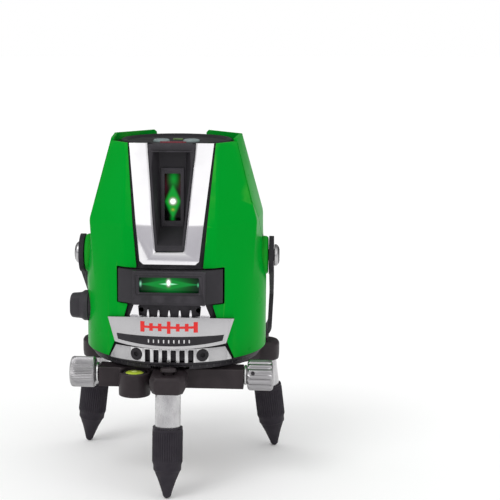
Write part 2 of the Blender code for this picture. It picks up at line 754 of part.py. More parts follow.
def make_handle():
    path = handle_path()
    whole = path + [(-x, reach) for x, reach in reversed(path[:-1])]
    outer, inner = [], []
    for index, (x, reach) in enumerate(whole):
        before = whole[max(index - 1, 0)]
        after = whole[min(index + 1, len(whole) - 1)]
        along = Vector((after[0] - before[0], after[1] - before[1])).normalized()
        out = Vector((along.y, -along.x)) * -HANDLE_T / 2
        outer.append((x - out.x, reach - out.y))
        inner.append((x + out.x, reach + out.y))
    band = plate(outer + inner[::-1], -HANDLE_W / 2, HANDLE_W / 2)
    for side in (-1, 1):
        join(band, rod((side * 0.0647, 0, 0), (side * 0.0681, 0, 0), 0.0135, segments=28))
        flare = [
            (side * x, y, z)
            for x in (0.0650, 0.0679)
            for y, z in ((0.0, 0.0125), (0.0, -0.0125), (0.0440, 0.0043), (0.0440, -0.0043))
        ]
        join(band, hull(flare))
        cut(band, rod((side * 0.060, 0, 0), (side * 0.075, 0, 0), 0.0040 + RUNNING))
    band.matrix_world = handle_matrix()
    for change in band.modifiers:
        change.object.matrix_world = handle_matrix()
    piece(band, "carry_handle", "rubber")
    for word, side in (("left", -1), ("right", 1)):
        profile = [
            (0, 0.0721), (0.0040, 0.0719), (0.0066, 0.0710), (0.0076, 0.0695), (0.0076, 0.0684),
            (0.0040, 0.0684), (0.0040, 0.0540), (0, 0.0540),
        ]
        turn = Matrix.Rotation(side * math.pi / 2, 4, "Y")
        screw = turned(profile, Matrix.Translation((0, 0, HANDLE_AXIS_Z)) @ turn, 28)
        ends = [(side * x, 0, HANDLE_AXIS_Z) for x in (0.0706, 0.0800)]
        cut(screw, rod(*ends, 0.0022, segments=6))
        piece(screw, f"handle_pivot_{word}", "chrome")


# ---- tripod base ---------------------------------------------------------------------------------
def leg_frame(word):
    """+Z runs up the leg from the floor under its tip."""
    about = Matrix.Rotation(math.radians(LEG_ANGLES[word]), 4, "Z")
    tip = Matrix.Translation((0, -TIP_RADIUS_FROM_AXIS, 0))
    return about @ tip @ Matrix.Rotation(-LEG_SPLAY, 4, "X")


def on_leg(item, word):
    item.matrix_world = leg_frame(word)
    return item


def boss_plan(word):
    """The outline of a leg boss, about the leg's own place."""
    turn = Matrix.Rotation(math.radians(LEG_ANGLES[word]), 4, "Z")
    if word == "front":
        right = [(0.0085, -0.0810), (0.0120, -0.0770), (0.0120, -0.0560)]
        return [(-x, y) for x, y in right] + [(x, y) for x, y in reversed(right)]
    points = []
    for step in range(20):
        angle = 2 * math.pi * step / 20
        point = turn @ Vector((0.0118 * math.cos(angle), -0.0702 + 0.0118 * math.sin(angle), 0))
        points.append((point.x, point.y))
    return points


def make_boss(word):
    outline = boss_plan(word)
    middle = leg_frame(word) @ Vector((0, 0, 0.078))
    low = 0.0735 if word == "front" else 0.0710
    rings = []
    for z, scale in ((low, 1.0), (0.0836, 1.0), (BASE_TOP_Z, 0.91)):
        rings.append(
            [(middle.x + (x - middle.x) * scale, middle.y + (y - middle.y) * scale, z) for x, y in outline]
        )
    return loft(rings)


def make_arm(word):
    turn = Matrix.Rotation(math.radians(LEG_ANGLES[word]), 4, "Z")
    half_in, half_out = 0.0150, 0.0085
    ends = ((BASE_BOTTOM_Z, BASE_TOP_Z, -0.020, half_in), (0.0735, 0.0838, -0.066, half_out))
    corners = []
    for z_low, z_high, y, half in ends:
        for x in (-half, half):
            corners += [turn @ Vector((x, y, z_low)), turn @ Vector((x, y, z_high))]
    return hull(corners)


def make_base():
    item = rod((0, 0, BASE_BOTTOM_Z), (0, 0, BASE_TOP_Z), 0.0340, segments=36)
    join(item, rod((0, 0, 0.0680), (0, 0, 0.0720), 0.0210, segments=36))
    for word in LEG_ANGLES:
        join(item, make_arm(word))
        join(item, make_boss(word))
    bar = block((-0.0493, BAR_Y - 0.0078, 0.0707), (0.0493, BAR_Y + 0.0078, 0.0843))
    join(item, bar)
    x, y = VIAL_XY
    join(item, rod((x, y, VIAL_CUP_Z[0]), (x, y, VIAL_CUP_Z[1]), VIAL_CUP_R, segments=36))
    cut(item, rod((x, y, 0.0720), (x, y, 0.0900), 0.0088, segments=36))
    # channel for the fine-adjustment nut, open below, with a slot above for its drive pin
    cut(item, block((-0.0130, BAR_Y - 0.0052, 0.0600), (0.0130, BAR_Y + 0.0052, 0.0822)))
    cut(item, block((-0.0100, BAR_Y - 0.0036, 0.0800), (0.0100, BAR_Y + 0.0036, 0.0900)))
    cut(item, rod((-0.060, BAR_Y, SHAFT_Z), (0.060, BAR_Y, SHAFT_Z), 0.0025 + RUNNING, segments=16))
    # seat of the threaded insert, and the spindle's hole above it
    cut(item, rod((0, 0, 0.0600), (0, 0, 0.0785), 0.0130 + GAP, segments=32))
    cut(item, rod((0, 0, 0.0700), (0, 0, 0.0900), 0.0070 + GAP, segments=24))
    for word in LEG_ANGLES:
        socket = rod((0, 0, 0.0600), (0, 0, 0.0790), POST_R + GAP, segments=24)
        hole = rod((0, 0, 0.0780), (0, 0, 0.1000), 0.0030 + GAP, segments=16)
        cut(item, on_leg(socket, word), on_leg(hole, word))
    return piece(item, "tripod_base", "black_casting")


def make_legs():
    for word in LEG_ANGLES:
        post = rod((0, 0, 0.0375), (0, 0, 0.0787), POST_R, segments=24)
        hollow = rod((0, 0, 0.0300), (0, 0, 0.0660), 0.0052, segments=16)
        thread = rod((0, 0, 0.0690), (0, 0, 0.0900), 0.0030 + GAP, segments=16)
        cut(post, on_leg(hollow, word), on_leg(thread, word))
        piece(on_leg(post, word), f"leg_post_{word}", "aluminium")
        profile = [
            (0, 0.0900), (0.0042, 0.0900), (0.0052, 0.0890), (0.0052, 0.0873), (0.0030, 0.0873),
            (0.0030, 0.0700), (0, 0.0700),
        ]
        bolt = turned(profile, leg_frame(word), 20)
        cut(bolt, on_leg(rod((0, 0, 0.0884), (0, 0, 0.1000), 0.0024, segments=6), word))
        piece(bolt, f"leg_bolt_{word}", "black_casting")
        make_foot(word)


def make_foot(word):
    """A cone-tipped foot: its sleeve slides on the post and its stud screws into it."""
    top = SLEEVE_TOP_S
    end = FLOOR_Z / math.cos(LEG_SPLAY)
    profile = [
        (0, 0.0560), (0.0048, 0.0560), (0.0048, 0.0278), (BORE_R, 0.0278), (BORE_R, top), (0.0100, top),
        (SLEEVE_R, top - 0.0012), (SLEEVE_R, 0.0285), (0.0097, 0.0260), (0.0093, 0.0255), (0.0092, 0.0222),
        (0.0087, 0.0218), (0.0031, end + 0.0034),
    ]
    tip_r = 0.0030
    for step in range(1, 4):
        turn = math.pi / 2 * step / 4
        profile.append((tip_r * math.cos(turn), end + tip_r - tip_r * math.sin(turn)))
    profile.append((0, end))
    piece(turned(profile, leg_frame(word), 24), f"foot_{word}", "rubber")
    collar = ring(POST_R + GAP, 0.0100, top + GAP, top + 0.0014, leg_frame(word), 24)
    piece(collar, f"foot_ring_{word}", "rubber")


def make_vial():
    x, y = VIAL_XY
    profile = [
        (0, 0.0831), (0.0040, 0.0828), (0.0060, 0.0822), (0.0062, 0.0812), (0.0085, 0.0808),
        (0.0085, 0.0723), (0, 0.0723),
    ]
    piece(turned(profile, Matrix.Translation((x, y, 0)), 32), "level_vial", "vial_fluid")


def make_turntable():
    """Threaded insert, spindle, graduated ring and the ring that the fine adjustment turns."""
    insert = ring(0.0082, 0.0130, 0.0683, 0.0782, steps=32)
    piece(insert, "tripod_thread_insert", "brass")
    spindle = turned(
        [(0, 0.0945), (0.0118, 0.0945), (0.0118, 0.0915), (0.0100, 0.0915), (0.0100, BASE_TOP_Z + GAP),
         (0.0070, BASE_TOP_Z + GAP), (0.0070, 0.0788), (0, 0.0788)],
        Matrix.Identity(4),
        32,
    )
    piece(spindle, "azimuth_spindle", "steel")
    dial = ring(0.0520, DIAL_R, BASE_TOP_Z + GAP, 0.0883, steps=72)
    cut(dial, block((-0.0130, -0.0600, 0.0830), (0.0130, -0.0450, 0.0872)))
    piece(dial, "dial_ring", "black_plastic")
    moving = ring(0.0103, 0.0360, BASE_TOP_Z + GAP, 0.0870, steps=36)
    join(moving, block((-0.0070, BAR_Y - 0.0050, BASE_TOP_Z + GAP), (0.0070, -0.0300, 0.0870)))
    cut(moving, block((-0.0023, -0.0600, 0.0830), (0.0023, BAR_Y + 0.0030, 0.0900)))
    piece(moving, "azimuth_ring", "steel")


def make_fine_adjustment():
    shaft = rod((-0.0640, BAR_Y, SHAFT_Z), (0.0640, BAR_Y, SHAFT_Z), 0.0025, segments=16)
    piece(shaft, "adjust_shaft", "steel")
    nut = block((-0.0060, BAR_Y - 0.0048, 0.0745), (0.0060, BAR_Y + 0.0048, 0.0818))
    cut(nut, rod((-0.020, BAR_Y, SHAFT_Z), (0.020, BAR_Y, SHAFT_Z), 0.0025 + RUNNING, segments=16))
    join(nut, rod((0, BAR_Y, 0.0815), (0, BAR_Y, 0.0868), 0.0020, segments=16))
    piece(nut, "adjust_nut", "brass")
    for word, side in (("left", -1), ("right", 1)):
        place = Matrix.Translation((0, BAR_Y, SHAFT_Z)) @ Matrix.Rotation(side * math.pi / 2, 4, "Y")
        near, far = KNOB_X
        profile = [
            (0, far), (KNOB_R - 0.0022, far), (KNOB_R - 0.0006, far - 0.0008), (KNOB_R, far - 0.0022),
            (KNOB_R, near + 0.0010), (KNOB_R - 0.0010, near), (0.0028, near), (0.0028, 0.0645), (0, 0.0645),
        ]
        piece(turned(profile, place, 28), f"adjust_knob_{word}", "aluminium")
        washer = ring(0.0028, 0.0068, 0.0496, near - GAP, place, 24)
        piece(washer, f"adjust_washer_{word}", "steel")


# ---- joints --------------------------------------------------------------------------------------
def joint_empty(name, place, names, parent=None):
    """An empty on the joint's axis, given from the datum, with the pieces that move with it."""
    place = Matrix.Translation((0, 0, -FLOOR_Z)) @ place
    mark = bpy.data.objects.new(name, None)
    mark.empty_display_size = 0.02
    PARTS.objects.link(mark)
    mark.matrix_world = place
    if parent:
        mark.parent = parent
        mark.matrix_parent_inverse = parent.matrix_world.inverted()
    bpy.context.view_layer.update()
    for child in names:
        item = bpy.data.objects[child]
        world = item.matrix_world.copy()
        item.parent = mark
        item.matrix_parent_inverse = mark.matrix_world.inverted()
        item.matrix_world = world
    bpy.context.view_layer.update()
    return mark


def make_joints():
    at = Matrix.Translation
    shaft_at = at((0, BAR_Y, SHAFT_Z))
    knobs = ["adjust_shaft", "adjust_knob_left", "adjust_knob_right"]
    knobs += ["adjust_washer_left", "adjust_washer_right"]
    joint_empty("joint_fine_turn", shaft_at, knobs)
    joint_empty("joint_nut_slide", shaft_at, ["adjust_nut"])
    ring_mark = joint_empty("joint_azimuth_ring", at((0, 0, 0.0858)), ["azimuth_ring"])
    head = [
        "head_chassis", "panel_front_left", "panel_front_right", "panel_rear_left", "panel_rear_right",
        "top_cover", "u_bezel", "vertical_window_recess", "vertical_window_glass",
        "horizontal_window_housing", "horizontal_window_glass", "upper_vent_grille", "badge_plate",
        "lower_bezel", "bezel_screw_left", "bezel_screw_right", "base_skirt", "handle_pivot_left",
        "handle_pivot_right", "power_lamp", "battery_pack", "circuit_board", "gimbal_yoke", "damping_magnet",
    ]
    head_mark = joint_empty("joint_head_turn", at((0, 0, 0.0900)), head, ring_mark)
    joint_empty("joint_handle_swing", at((0, 0, HANDLE_AXIS_Z)), ["carry_handle"], head_mark)
    joint_empty("joint_lock_turn", at((-0.066, LOCK_Y, LOCK_Z)), ["lock_knob"], head_mark)
    joint_empty("joint_lock_lift", at((0, 0, 0.1020)), ["lock_plunger"], head_mark)
    joint_empty("joint_button_left", at((-KEY_X, -0.004, 0.2350)), ["mode_button_left"], head_mark)
    joint_empty("joint_button_right", at((KEY_X, -0.004, 0.2350)), ["mode_button_right"], head_mark)
    joint_empty("joint_battery_door", at((0, 0.0615, 0.0998)), ["battery_door"], head_mark)
    gimbal_mark = joint_empty("joint_gimbal_x", at((0, 0, GIMBAL_Z)), ["gimbal_ring"], head_mark)
    hung = ["pendulum_body", "vertical_laser_module", "horizontal_laser_module", "damping_plate"]
    joint_empty("joint_pendulum_y", at((0, 0, GIMBAL_Z)), hung, gimbal_mark)
    for word in LEG_ANGLES:
        travel = joint_empty(f"joint_foot_travel_{word}", leg_frame(word), [f"foot_ring_{word}"])
        joint_empty(f"joint_foot_turn_{word}", leg_frame(word), [f"foot_{word}"], travel)


def main():
    make_panels()
    make_chassis()
    make_top_cover()
    make_u_bezel()
    make_vertical_window()
    make_horizontal_window()
    make_vent()
    make_badge()
    make_lower_bezel()
    make_skirt()
    make_gimbal()
    make_pendulum_parts()
    make_lock()
    make_electronics()
    make_buttons()
    make_battery_door()
    make_handle()
    make_base()
    make_legs()
    make_vial()
    make_turntable()
    make_fine_adjustment()
    make_joints()


main()
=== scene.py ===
"""The looks of the laser level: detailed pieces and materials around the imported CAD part.

Lengths are metres in the CAD's own frame: +Z up, windows facing -Y, origin on the floor below the head's axis.
Heights here are counted from a datum FLOOR_Z under the floor, and piece() brings each finished shape down.
Each piece replaces its CAD node and rides on the same body, so every joint still works.
"""

import json
import math

import bmesh
import bpy
from mathutils import Matrix, Vector


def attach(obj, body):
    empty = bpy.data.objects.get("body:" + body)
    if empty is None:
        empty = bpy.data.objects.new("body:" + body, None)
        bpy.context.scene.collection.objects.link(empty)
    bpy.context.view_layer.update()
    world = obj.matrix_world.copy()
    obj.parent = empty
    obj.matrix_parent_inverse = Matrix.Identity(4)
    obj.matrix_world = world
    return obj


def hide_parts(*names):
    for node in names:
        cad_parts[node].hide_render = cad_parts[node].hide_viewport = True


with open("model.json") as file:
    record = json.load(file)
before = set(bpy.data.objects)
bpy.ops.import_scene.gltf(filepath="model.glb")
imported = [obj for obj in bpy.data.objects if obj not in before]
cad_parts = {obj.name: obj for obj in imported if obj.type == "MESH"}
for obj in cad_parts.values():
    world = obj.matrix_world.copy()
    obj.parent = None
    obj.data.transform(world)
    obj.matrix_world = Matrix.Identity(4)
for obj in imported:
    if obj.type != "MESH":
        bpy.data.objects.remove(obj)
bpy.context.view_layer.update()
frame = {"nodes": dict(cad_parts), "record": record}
BODY_OF = {node: body for body, nodes in frame["record"]["behaviour"]["bodies"].items() for node in nodes}

# ---- driving sizes, the same as the CAD's ----------------------------------------------------------
FLOOR_Z = 0.0030
GAP = 0.0003
PANEL_BOTTOM_Z, DRUM_TOP_Z, KNEE_Z, FRONT_TOP_Z, REAR_TOP_Z = 0.0913, 0.140, 0.183, 0.236, 0.238
DRUM_R = 0.063
KNEE_PLAN = [(0.031, -0.058), (0.057, -0.034), (0.060, 0.020), (0.024, 0.058)]
TOP_PLAN = [(0.031, -0.043), (0.043, -0.027), (0.0455, 0.0125), (0.018, 0.043)]
PANEL_T = 0.0022
PANEL_GAP = 0.0012
BEZEL_BOTTOM_Z, MOUTH_BOTTOM_Z = 0.1578, 0.1654
BEZEL_HALF_TOP, BEZEL_HALF_BOTTOM, PANEL_FOOT_HALF = 0.0283, 0.0195, 0.0222
MOUTH_HALF_TOP, MOUTH_HALF_BOTTOM = 0.0163, 0.0095
BEZEL_PROUD, BEZEL_T = 0.0008, 0.0026
RECESS_BACK_Y = -0.0350
V_WINDOW = (0.0054, 0.1827, 0.2148)
HOUSING_Z = (0.1306, 0.1533)
HOUSING_FACE_Y = -0.0650
HOUSING_HALF, EAR_HALF = 0.0240, 0.0350
H_WINDOW = (0.0198, 0.1389, 0.1491)
VENT_Z = (0.1212, 0.1301)
BADGE_R = (0.0634, 0.0660)
LOWER_BEZEL_Z, LOWER_BEZEL_R = (0.0914, 0.1008), (0.0612, 0.0646)
SLOT_PITCH = 0.0058
DRUM_CUT_Y = (-0.070, -0.055)
SCREW_X, SCREW_Z = 0.0220, 0.0962
HANDLE_AXIS_Z, HANDLE_DROP = 0.154, math.radians(44)
HANDLE_REACH, HANDLE_T, HANDLE_W = 0.1203, 0.0030, 0.0082
BOSS_R, BOSS_X = 0.0135, 0.0643
DOOR_HALF = 0.0318
LOCK_Y, LOCK_Z, LOCK_CRANK = -0.0125, 0.1185, 0.0018
BASE_TOP_Z, BASE_BOTTOM_Z = 0.0850, 0.0700
TIP_RADIUS_FROM_AXIS, TIP_R = 0.0812, 0.0030
LEG_SPLAY = math.radians(8)
LEG_ANGLES = {"front": 0.0, "right": 120.0, "left": 240.0}
POST_R, BORE_R, SLEEVE_R, SLEEVE_TOP_S = 0.0085, 0.00895, 0.0102, 0.0497
BAR_Y, SHAFT_Z = -0.0440, 0.0788
KNOB_X, KNOB_R = (0.0517, 0.0692), 0.0105
KEY_X, KEY_Y = 0.0104, -0.004
VIAL_XY = (-0.024, -0.0565)
VIAL_CUP_R = 0.01075
DIAL_R, SKIRT_R = 0.0585, 0.0612


# The sky that reflections see, from the horizon up: (height of the direction, colour).
SKY = [
    (0.00, (0.47, 0.46, 0.49)),
    (0.09, (0.55, 0.54, 0.57)),
    (0.20, (0.66, 0.66, 0.67)),
    (0.30, (1.22, 1.22, 1.22)),
    (1.00, (0.95, 0.95, 0.95)),
]


# ---- camera and light ------------------------------------------------------------------------------
def make_camera():
    lens = bpy.data.cameras.new("camera")
    lens.sensor_width = 36
    lens.lens = 98.6
    lens.shift_x = 0.146
    camera = bpy.data.objects.new("camera", lens)
    camera.location = (0.0787, -0.9467, 0.3185)
    camera.rotation_euler = (math.radians(90 - 9.85), 0, math.radians(4.75))
    bpy.context.scene.collection.objects.link(camera)
    bpy.context.scene.camera = camera


def area_light(name, location, target, size, power):
    lamp = bpy.data.lights.new(name, "AREA")
    lamp.shape = "RECTANGLE"
    lamp.size, lamp.size_y = size
    lamp.energy = power
    item = bpy.data.objects.new(name, lamp)
    item.location = location
    item.rotation_euler = (Vector(target) - Vector(location)).to_track_quat("-Z", "Y").to_euler()
    bpy.context.scene.collection.objects.link(item)


def make_world():
    """Even light for diffuse rays, a sky that darkens to the back for reflections, white for the camera."""
    world = bpy.data.worlds.new("studio")
    bpy.context.scene.world = world
    world.use_nodes = True
    tree = world.node_tree
    tree.nodes.clear()

    def glow(strength, colour=None):
        made = tree.nodes.new("ShaderNodeBackground")
        made.inputs["Strength"].default_value = strength
        if colour:
            made.inputs["Color"].default_value = (*colour, 1)
        return made

    def mix(share, first, second):
        made = tree.nodes.new("ShaderNodeMixShader")
        tree.links.new(share, made.inputs["Fac"])
        tree.links.new(first, made.inputs[1])
        tree.links.new(second, made.inputs[2])
        return made.outputs["Shader"]

    place = tree.nodes.new("ShaderNodeTexCoord")
    split = tree.nodes.new("ShaderNodeSeparateXYZ")
    ramp = tree.nodes.new("ShaderNodeValToRGB")
    ramp.color_ramp.elements[0].color = (*SKY[0][1], 1)
    ramp.color_ramp.elements[1].color = (*SKY[-1][1], 1)
    for at, shade in SKY[1:-1]:
        ramp.color_ramp.elements.new(at).color = (*shade, 1)
    reflected, diffuse, seen = glow(1.0), glow(0.94, (1, 1, 1)), glow(1.0, (1, 1, 1))
    ray = tree.nodes.new("ShaderNodeLightPath")
    out = tree.nodes.new("ShaderNodeOutputWorld")
    tree.links.new(place.outputs["Generated"], split.inputs["Vector"])
    tree.links.new(split.outputs["Z"], ramp.inputs["Fac"])
    tree.links.new(ramp.outputs["Color"], reflected.inputs["Color"])
    fade = tree.nodes.new("ShaderNodeMapRange")
    for key, number in (("From Min", -0.35), ("From Max", 0.45), ("To Min", 1.0), ("To Max", 0.22)):
        fade.inputs[key].default_value = number
    tree.links.new(split.outputs["Y"], fade.inputs["Value"])
    tree.links.new(fade.outputs["Result"], reflected.inputs["Strength"])
    lit = mix(ray.outputs["Is Diffuse Ray"], reflected.outputs["Background"], diffuse.outputs["Background"])
    whole = mix(ray.outputs["Is Camera Ray"], lit, seen.outputs["Background"])
    tree.links.new(whole, out.inputs["Surface"])


def make_studio():
    make_world()
    lamp = bpy.data.lights.new("key_lamp", "SUN")
    lamp.energy = 0.60
    lamp.angle = math.radians(24)
    sun = bpy.data.objects.new("key_lamp", lamp)
    sun.rotation_euler = Vector((0.52, 0.62, -1.0)).to_track_quat("-Z", "Y").to_euler()
    bpy.context.scene.collection.objects.link(sun)
    area_light("side_softbox", (0.85, -0.55, 0.55), (0, 0, 0.14), (0.5, 0.6), 0.3)
    bpy.context.scene.view_settings.view_transform = "Standard"


def make_floor():
    shape = bmesh.new()
    bmesh.ops.create_circle(shape, cap_ends=True, segments=96, radius=9.0)
    mesh = bpy.data.meshes.new("studio_floor")
    shape.to_mesh(mesh)
    shape.free()
    floor = bpy.data.objects.new("studio_floor", mesh)
    floor.location.z = -0.00005
    bpy.context.scene.collection.objects.link(floor)
    paint = Finish("floor_paper", (0.97, 0.97, 0.97), 0.9, Specular_IOR_Level=0.0)
    paint.vary_colour((0.965, 0.965, 0.965), scale=6)
    mesh.materials.append(paint.material)


# ---- materials -------------------------------------------------------------------------------------
class Finish:
    """A Principled material built up in layers: colour variation, painted edge highlights, roughness variation and
    bump.
    """

    def __init__(self, name, colour, roughness, metallic=0.0, **sockets):
        self.material = bpy.data.materials.new(name)
        self.material.use_nodes = True
        self.tree = self.material.node_tree
        self.shader = self.tree.nodes["Principled BSDF"]
        self.colour = (*colour, 1.0)
        self.roughness = roughness
        self.shader.inputs["Base Color"].default_value = self.colour
        self.shader.inputs["Roughness"].default_value = roughness
        self.shader.inputs["Metallic"].default_value = metallic
        for socket, value in sockets.items():
            self.shader.inputs[socket.replace("_", " ")].default_value = value
        self.place = self.node("ShaderNodeTexCoord")
        self.last_bump = None

    def node(self, kind, **settings):
        made = self.tree.nodes.new(kind)
        for key, value in settings.items():
            setattr(made, key, value)
        return made

    def link(self, output, socket):
        self.tree.links.new(output, socket)

    def coords(self, stretch):
        mapping = self.node("ShaderNodeMapping")
        mapping.inputs["Scale"].default_value = stretch
        self.link(self.place.outputs["Object"], mapping.inputs["Vector"])
        return mapping.outputs["Vector"]

    def noise(self, scale, detail=3.0, stretch=(1, 1, 1)):
        texture = self.node("ShaderNodeTexNoise")
        texture.inputs["Scale"].default_value = scale
        texture.inputs["Detail"].default_value = detail
        self.link(self.coords(stretch), texture.inputs["Vector"])
        return texture.outputs["Fac"]

    def spread(self, value, low, high, start=0.3, end=0.7):
        change = self.node("ShaderNodeMapRange")
        for key, number in (("From Min", start), ("From Max", end), ("To Min", low), ("To Max", high)):
            change.inputs[key].default_value = number
        self.link(value, change.inputs["Value"])
        return change.outputs["Result"]

    def vary_colour(self, other, scale, detail=3.0, stretch=(1, 1, 1), start=0.35, end=0.65):
        mix = self.node("ShaderNodeMix", data_type="RGBA")
        mix.inputs["A"].default_value = self.colour
        mix.inputs["B"].default_value = (*other, 1.0)
        noise = self.noise(scale, detail, stretch)
        self.link(self.spread(noise, 0.0, 1.0, start, end), mix.inputs["Factor"])
        self.link(mix.outputs["Result"], self.shader.inputs["Base Color"])
        return self

    def vary_roughness(self, spread, scale, detail=3.0, stretch=(1, 1, 1)):
        low, high = self.roughness - spread, self.roughness + spread
        noise = self.noise(scale, detail, stretch)
        self.link(self.spread(noise, low, high), self.shader.inputs["Roughness"])
        return self

    def paint_edge_highlights(self, colour, amount=0.5, start=0.515, end=0.575):
        """Painted highlight: lightens the raised edges and creases by their pointiness, broken up by noise."""
        edges = self.spread(self.node("ShaderNodeNewGeometry").outputs["Pointiness"], 0.0, amount, start, end)
        patches = self.spread(self.noise(130, 4.0), 0.35, 1.0, 0.35, 0.60)
        share = self.node("ShaderNodeMath", operation="MULTIPLY")
        self.link(edges, share.inputs[0])
        self.link(patches, share.inputs[1])
        mix = self.node("ShaderNodeMix", data_type="RGBA")
        mix.inputs["A"].default_value = self.colour
        mix.inputs["B"].default_value = (*colour, 1.0)
        base = self.shader.inputs["Base Color"]
        if base.links:
            self.link(base.links[0].from_socket, mix.inputs["A"])
        self.link(share.outputs[0], mix.inputs["Factor"])
        self.link(mix.outputs["Result"], base)
        return self

    def bump(self, scale, depth, detail=2.0, stretch=(1, 1, 1)):
        """Adds a height layer: depth is in metres."""
        bump = self.node("ShaderNodeBump")
        bump.inputs["Strength"].default_value = 1.0
        bump.inputs["Distance"].default_value = depth
        self.link(self.noise(scale, detail, stretch), bump.inputs["Height"])
        if self.last_bump:
            self.link(self.last_bump, bump.inputs["Normal"])
        self.last_bump = bump.outputs["Normal"]
        self.link(self.last_bump, self.shader.inputs["Normal"])
        return self


def green_shell():
    paint = Finish("green_gloss_moulding", (0.0, 0.312, 0.024), 0.30, Specular_IOR_Level=0.015)
    paint.vary_colour((0.0, 0.298, 0.020), scale=14)
    # painted highlight: yellow-green along the creases and knee lines
    paint.paint_edge_highlights((0.06, 0.40, 0.04), 0.45)
    paint.vary_roughness(0.04, scale=42, detail=5)
    return paint.bump(1400, 0.000005, detail=2).material


def black_moulding(name="black_moulding", shade=0.018, roughness=0.46, grain=0.00003):
    paint = Finish(name, (shade, shade * 0.93, shade * 1.08), roughness, Specular_IOR_Level=0.16)
    paint.vary_colour((shade * 1.22, shade * 1.14, shade * 1.32), scale=60, detail=4)
    # painted highlight: lighter grey along the raised edges
    paint.paint_edge_highlights((0.060, 0.055, 0.064), 0.6)
    paint.vary_roughness(0.06, scale=90, detail=4)
    return paint.bump(3200, grain, detail=2).material


def black_casting():
    paint = Finish("black_painted_casting", (0.021, 0.0155, 0.018), 0.42, Specular_IOR_Level=0.22)
    paint.vary_colour((0.029, 0.022, 0.025), scale=110, detail=5)
    # painted highlight: lighter grey along the raised edges
    paint.paint_edge_highlights((0.075, 0.065, 0.068), 0.6)
    paint.vary_roughness(0.08, scale=70, detail=4)
    return paint.bump(1500, 0.00005, detail=3).bump(4200, 0.00002).material


def chrome(name="chrome_plating", shade=0.88, roughness=0.12):
    paint = Finish(name, (shade, shade * 0.985, shade * 1.01), roughness, metallic=1.0)
    paint.vary_colour((shade * 0.95, shade * 0.935, shade * 0.96), scale=70)
    # painted highlight: near white along the raised edges
    paint.paint_edge_highlights((0.95, 0.95, 0.95), 0.5)
    paint.vary_roughness(0.035, scale=55, detail=4)
    return paint.bump(60, 0.00004, detail=1).bump(2600, 0.000004).material


def turned_aluminium(name, shade=0.66, roughness=0.30, stretch=(1, 1, 14)):
    paint = Finish(name, (shade, shade * 0.975, shade * 1.005), roughness, metallic=1.0)
    paint.vary_colour((shade * 0.90, shade * 0.88, shade * 0.91), scale=300, stretch=stretch)
    # painted highlight: brighter metal along the raised edges
    paint.paint_edge_highlights((min(1.0, shade * 1.8),) * 3, 0.6)
    paint.vary_roughness(0.07, scale=420, stretch=stretch)
    return paint.bump(900, 0.000014, stretch=stretch).material


def ribbed_rubber():
    paint = Finish("black_rubber", (0.021, 0.0175, 0.024), 0.60, Specular_IOR_Level=0.18)
    paint.vary_colour((0.028, 0.024, 0.031), scale=160, detail=5)
    # painted highlight: lighter grey along the raised edges
    paint.paint_edge_highlights((0.055, 0.050, 0.058), 0.5)
    paint.vary_roughness(0.10, scale=120, detail=4)
    return paint.bump(2600, 0.00004, detail=3).material


def plain_metal(name, colour, roughness):
    paint = Finish(name, colour, roughness, metallic=1.0)
    paint.vary_colour(tuple(c * 0.86 for c in colour), scale=220, detail=4)
    # painted highlight: brighter metal along the raised edges
    paint.paint_edge_highlights(tuple(min(1.0, c * 1.25) for c in colour), 0.5)
    paint.vary_roughness(0.08, scale=260, detail=4)
    return paint.bump(1200, 0.00001).material


def pale_key():
    paint = Finish("pale_key_plastic", (0.24, 0.30, 0.30), 0.30)
    paint.vary_colour((0.20, 0.26, 0.26), scale=90)
    paint.vary_roughness(0.05, scale=120)
    return paint.bump(2600, 0.000012).material


def ink(name, colour, other, roughness=0.5, **sockets):
    paint = Finish(name, colour, roughness, **sockets)
    paint.vary_colour(other, scale=400)
    paint.vary_roughness(min(0.08, roughness * 0.5), scale=500)
    return paint.bump(3000, 0.000006).material


def vial_fluid():
    paint = Finish("vial_fluid", (0.52, 0.70, 0.05), 0.08, Coat_Weight=0.8, Coat_Roughness=0.03)
    paint.vary_colour((0.66, 0.80, 0.10), scale=150)
    paint.vary_roughness(0.03, scale=200)
    return paint.bump(400, 0.00001).material


def circuit_green():
    paint = Finish("circuit_laminate", (0.015, 0.16, 0.06), 0.42)
    paint.vary_colour((0.03, 0.24, 0.10), scale=900, detail=6)
    return paint.bump(1500, 0.00002).material


def battery_wrap():
    paint = Finish("battery_wrap", (0.04, 0.10, 0.28), 0.35)
    paint.vary_colour((0.05, 0.13, 0.33), scale=200)
    return paint.bump(700, 0.00004).material


def red_enamel():
    paint = Finish("red_enamel", (0.72, 0.012, 0.010), 0.30)
    paint.vary_colour((0.64, 0.010, 0.009), scale=300)
    return paint.bump(1800, 0.00001).material


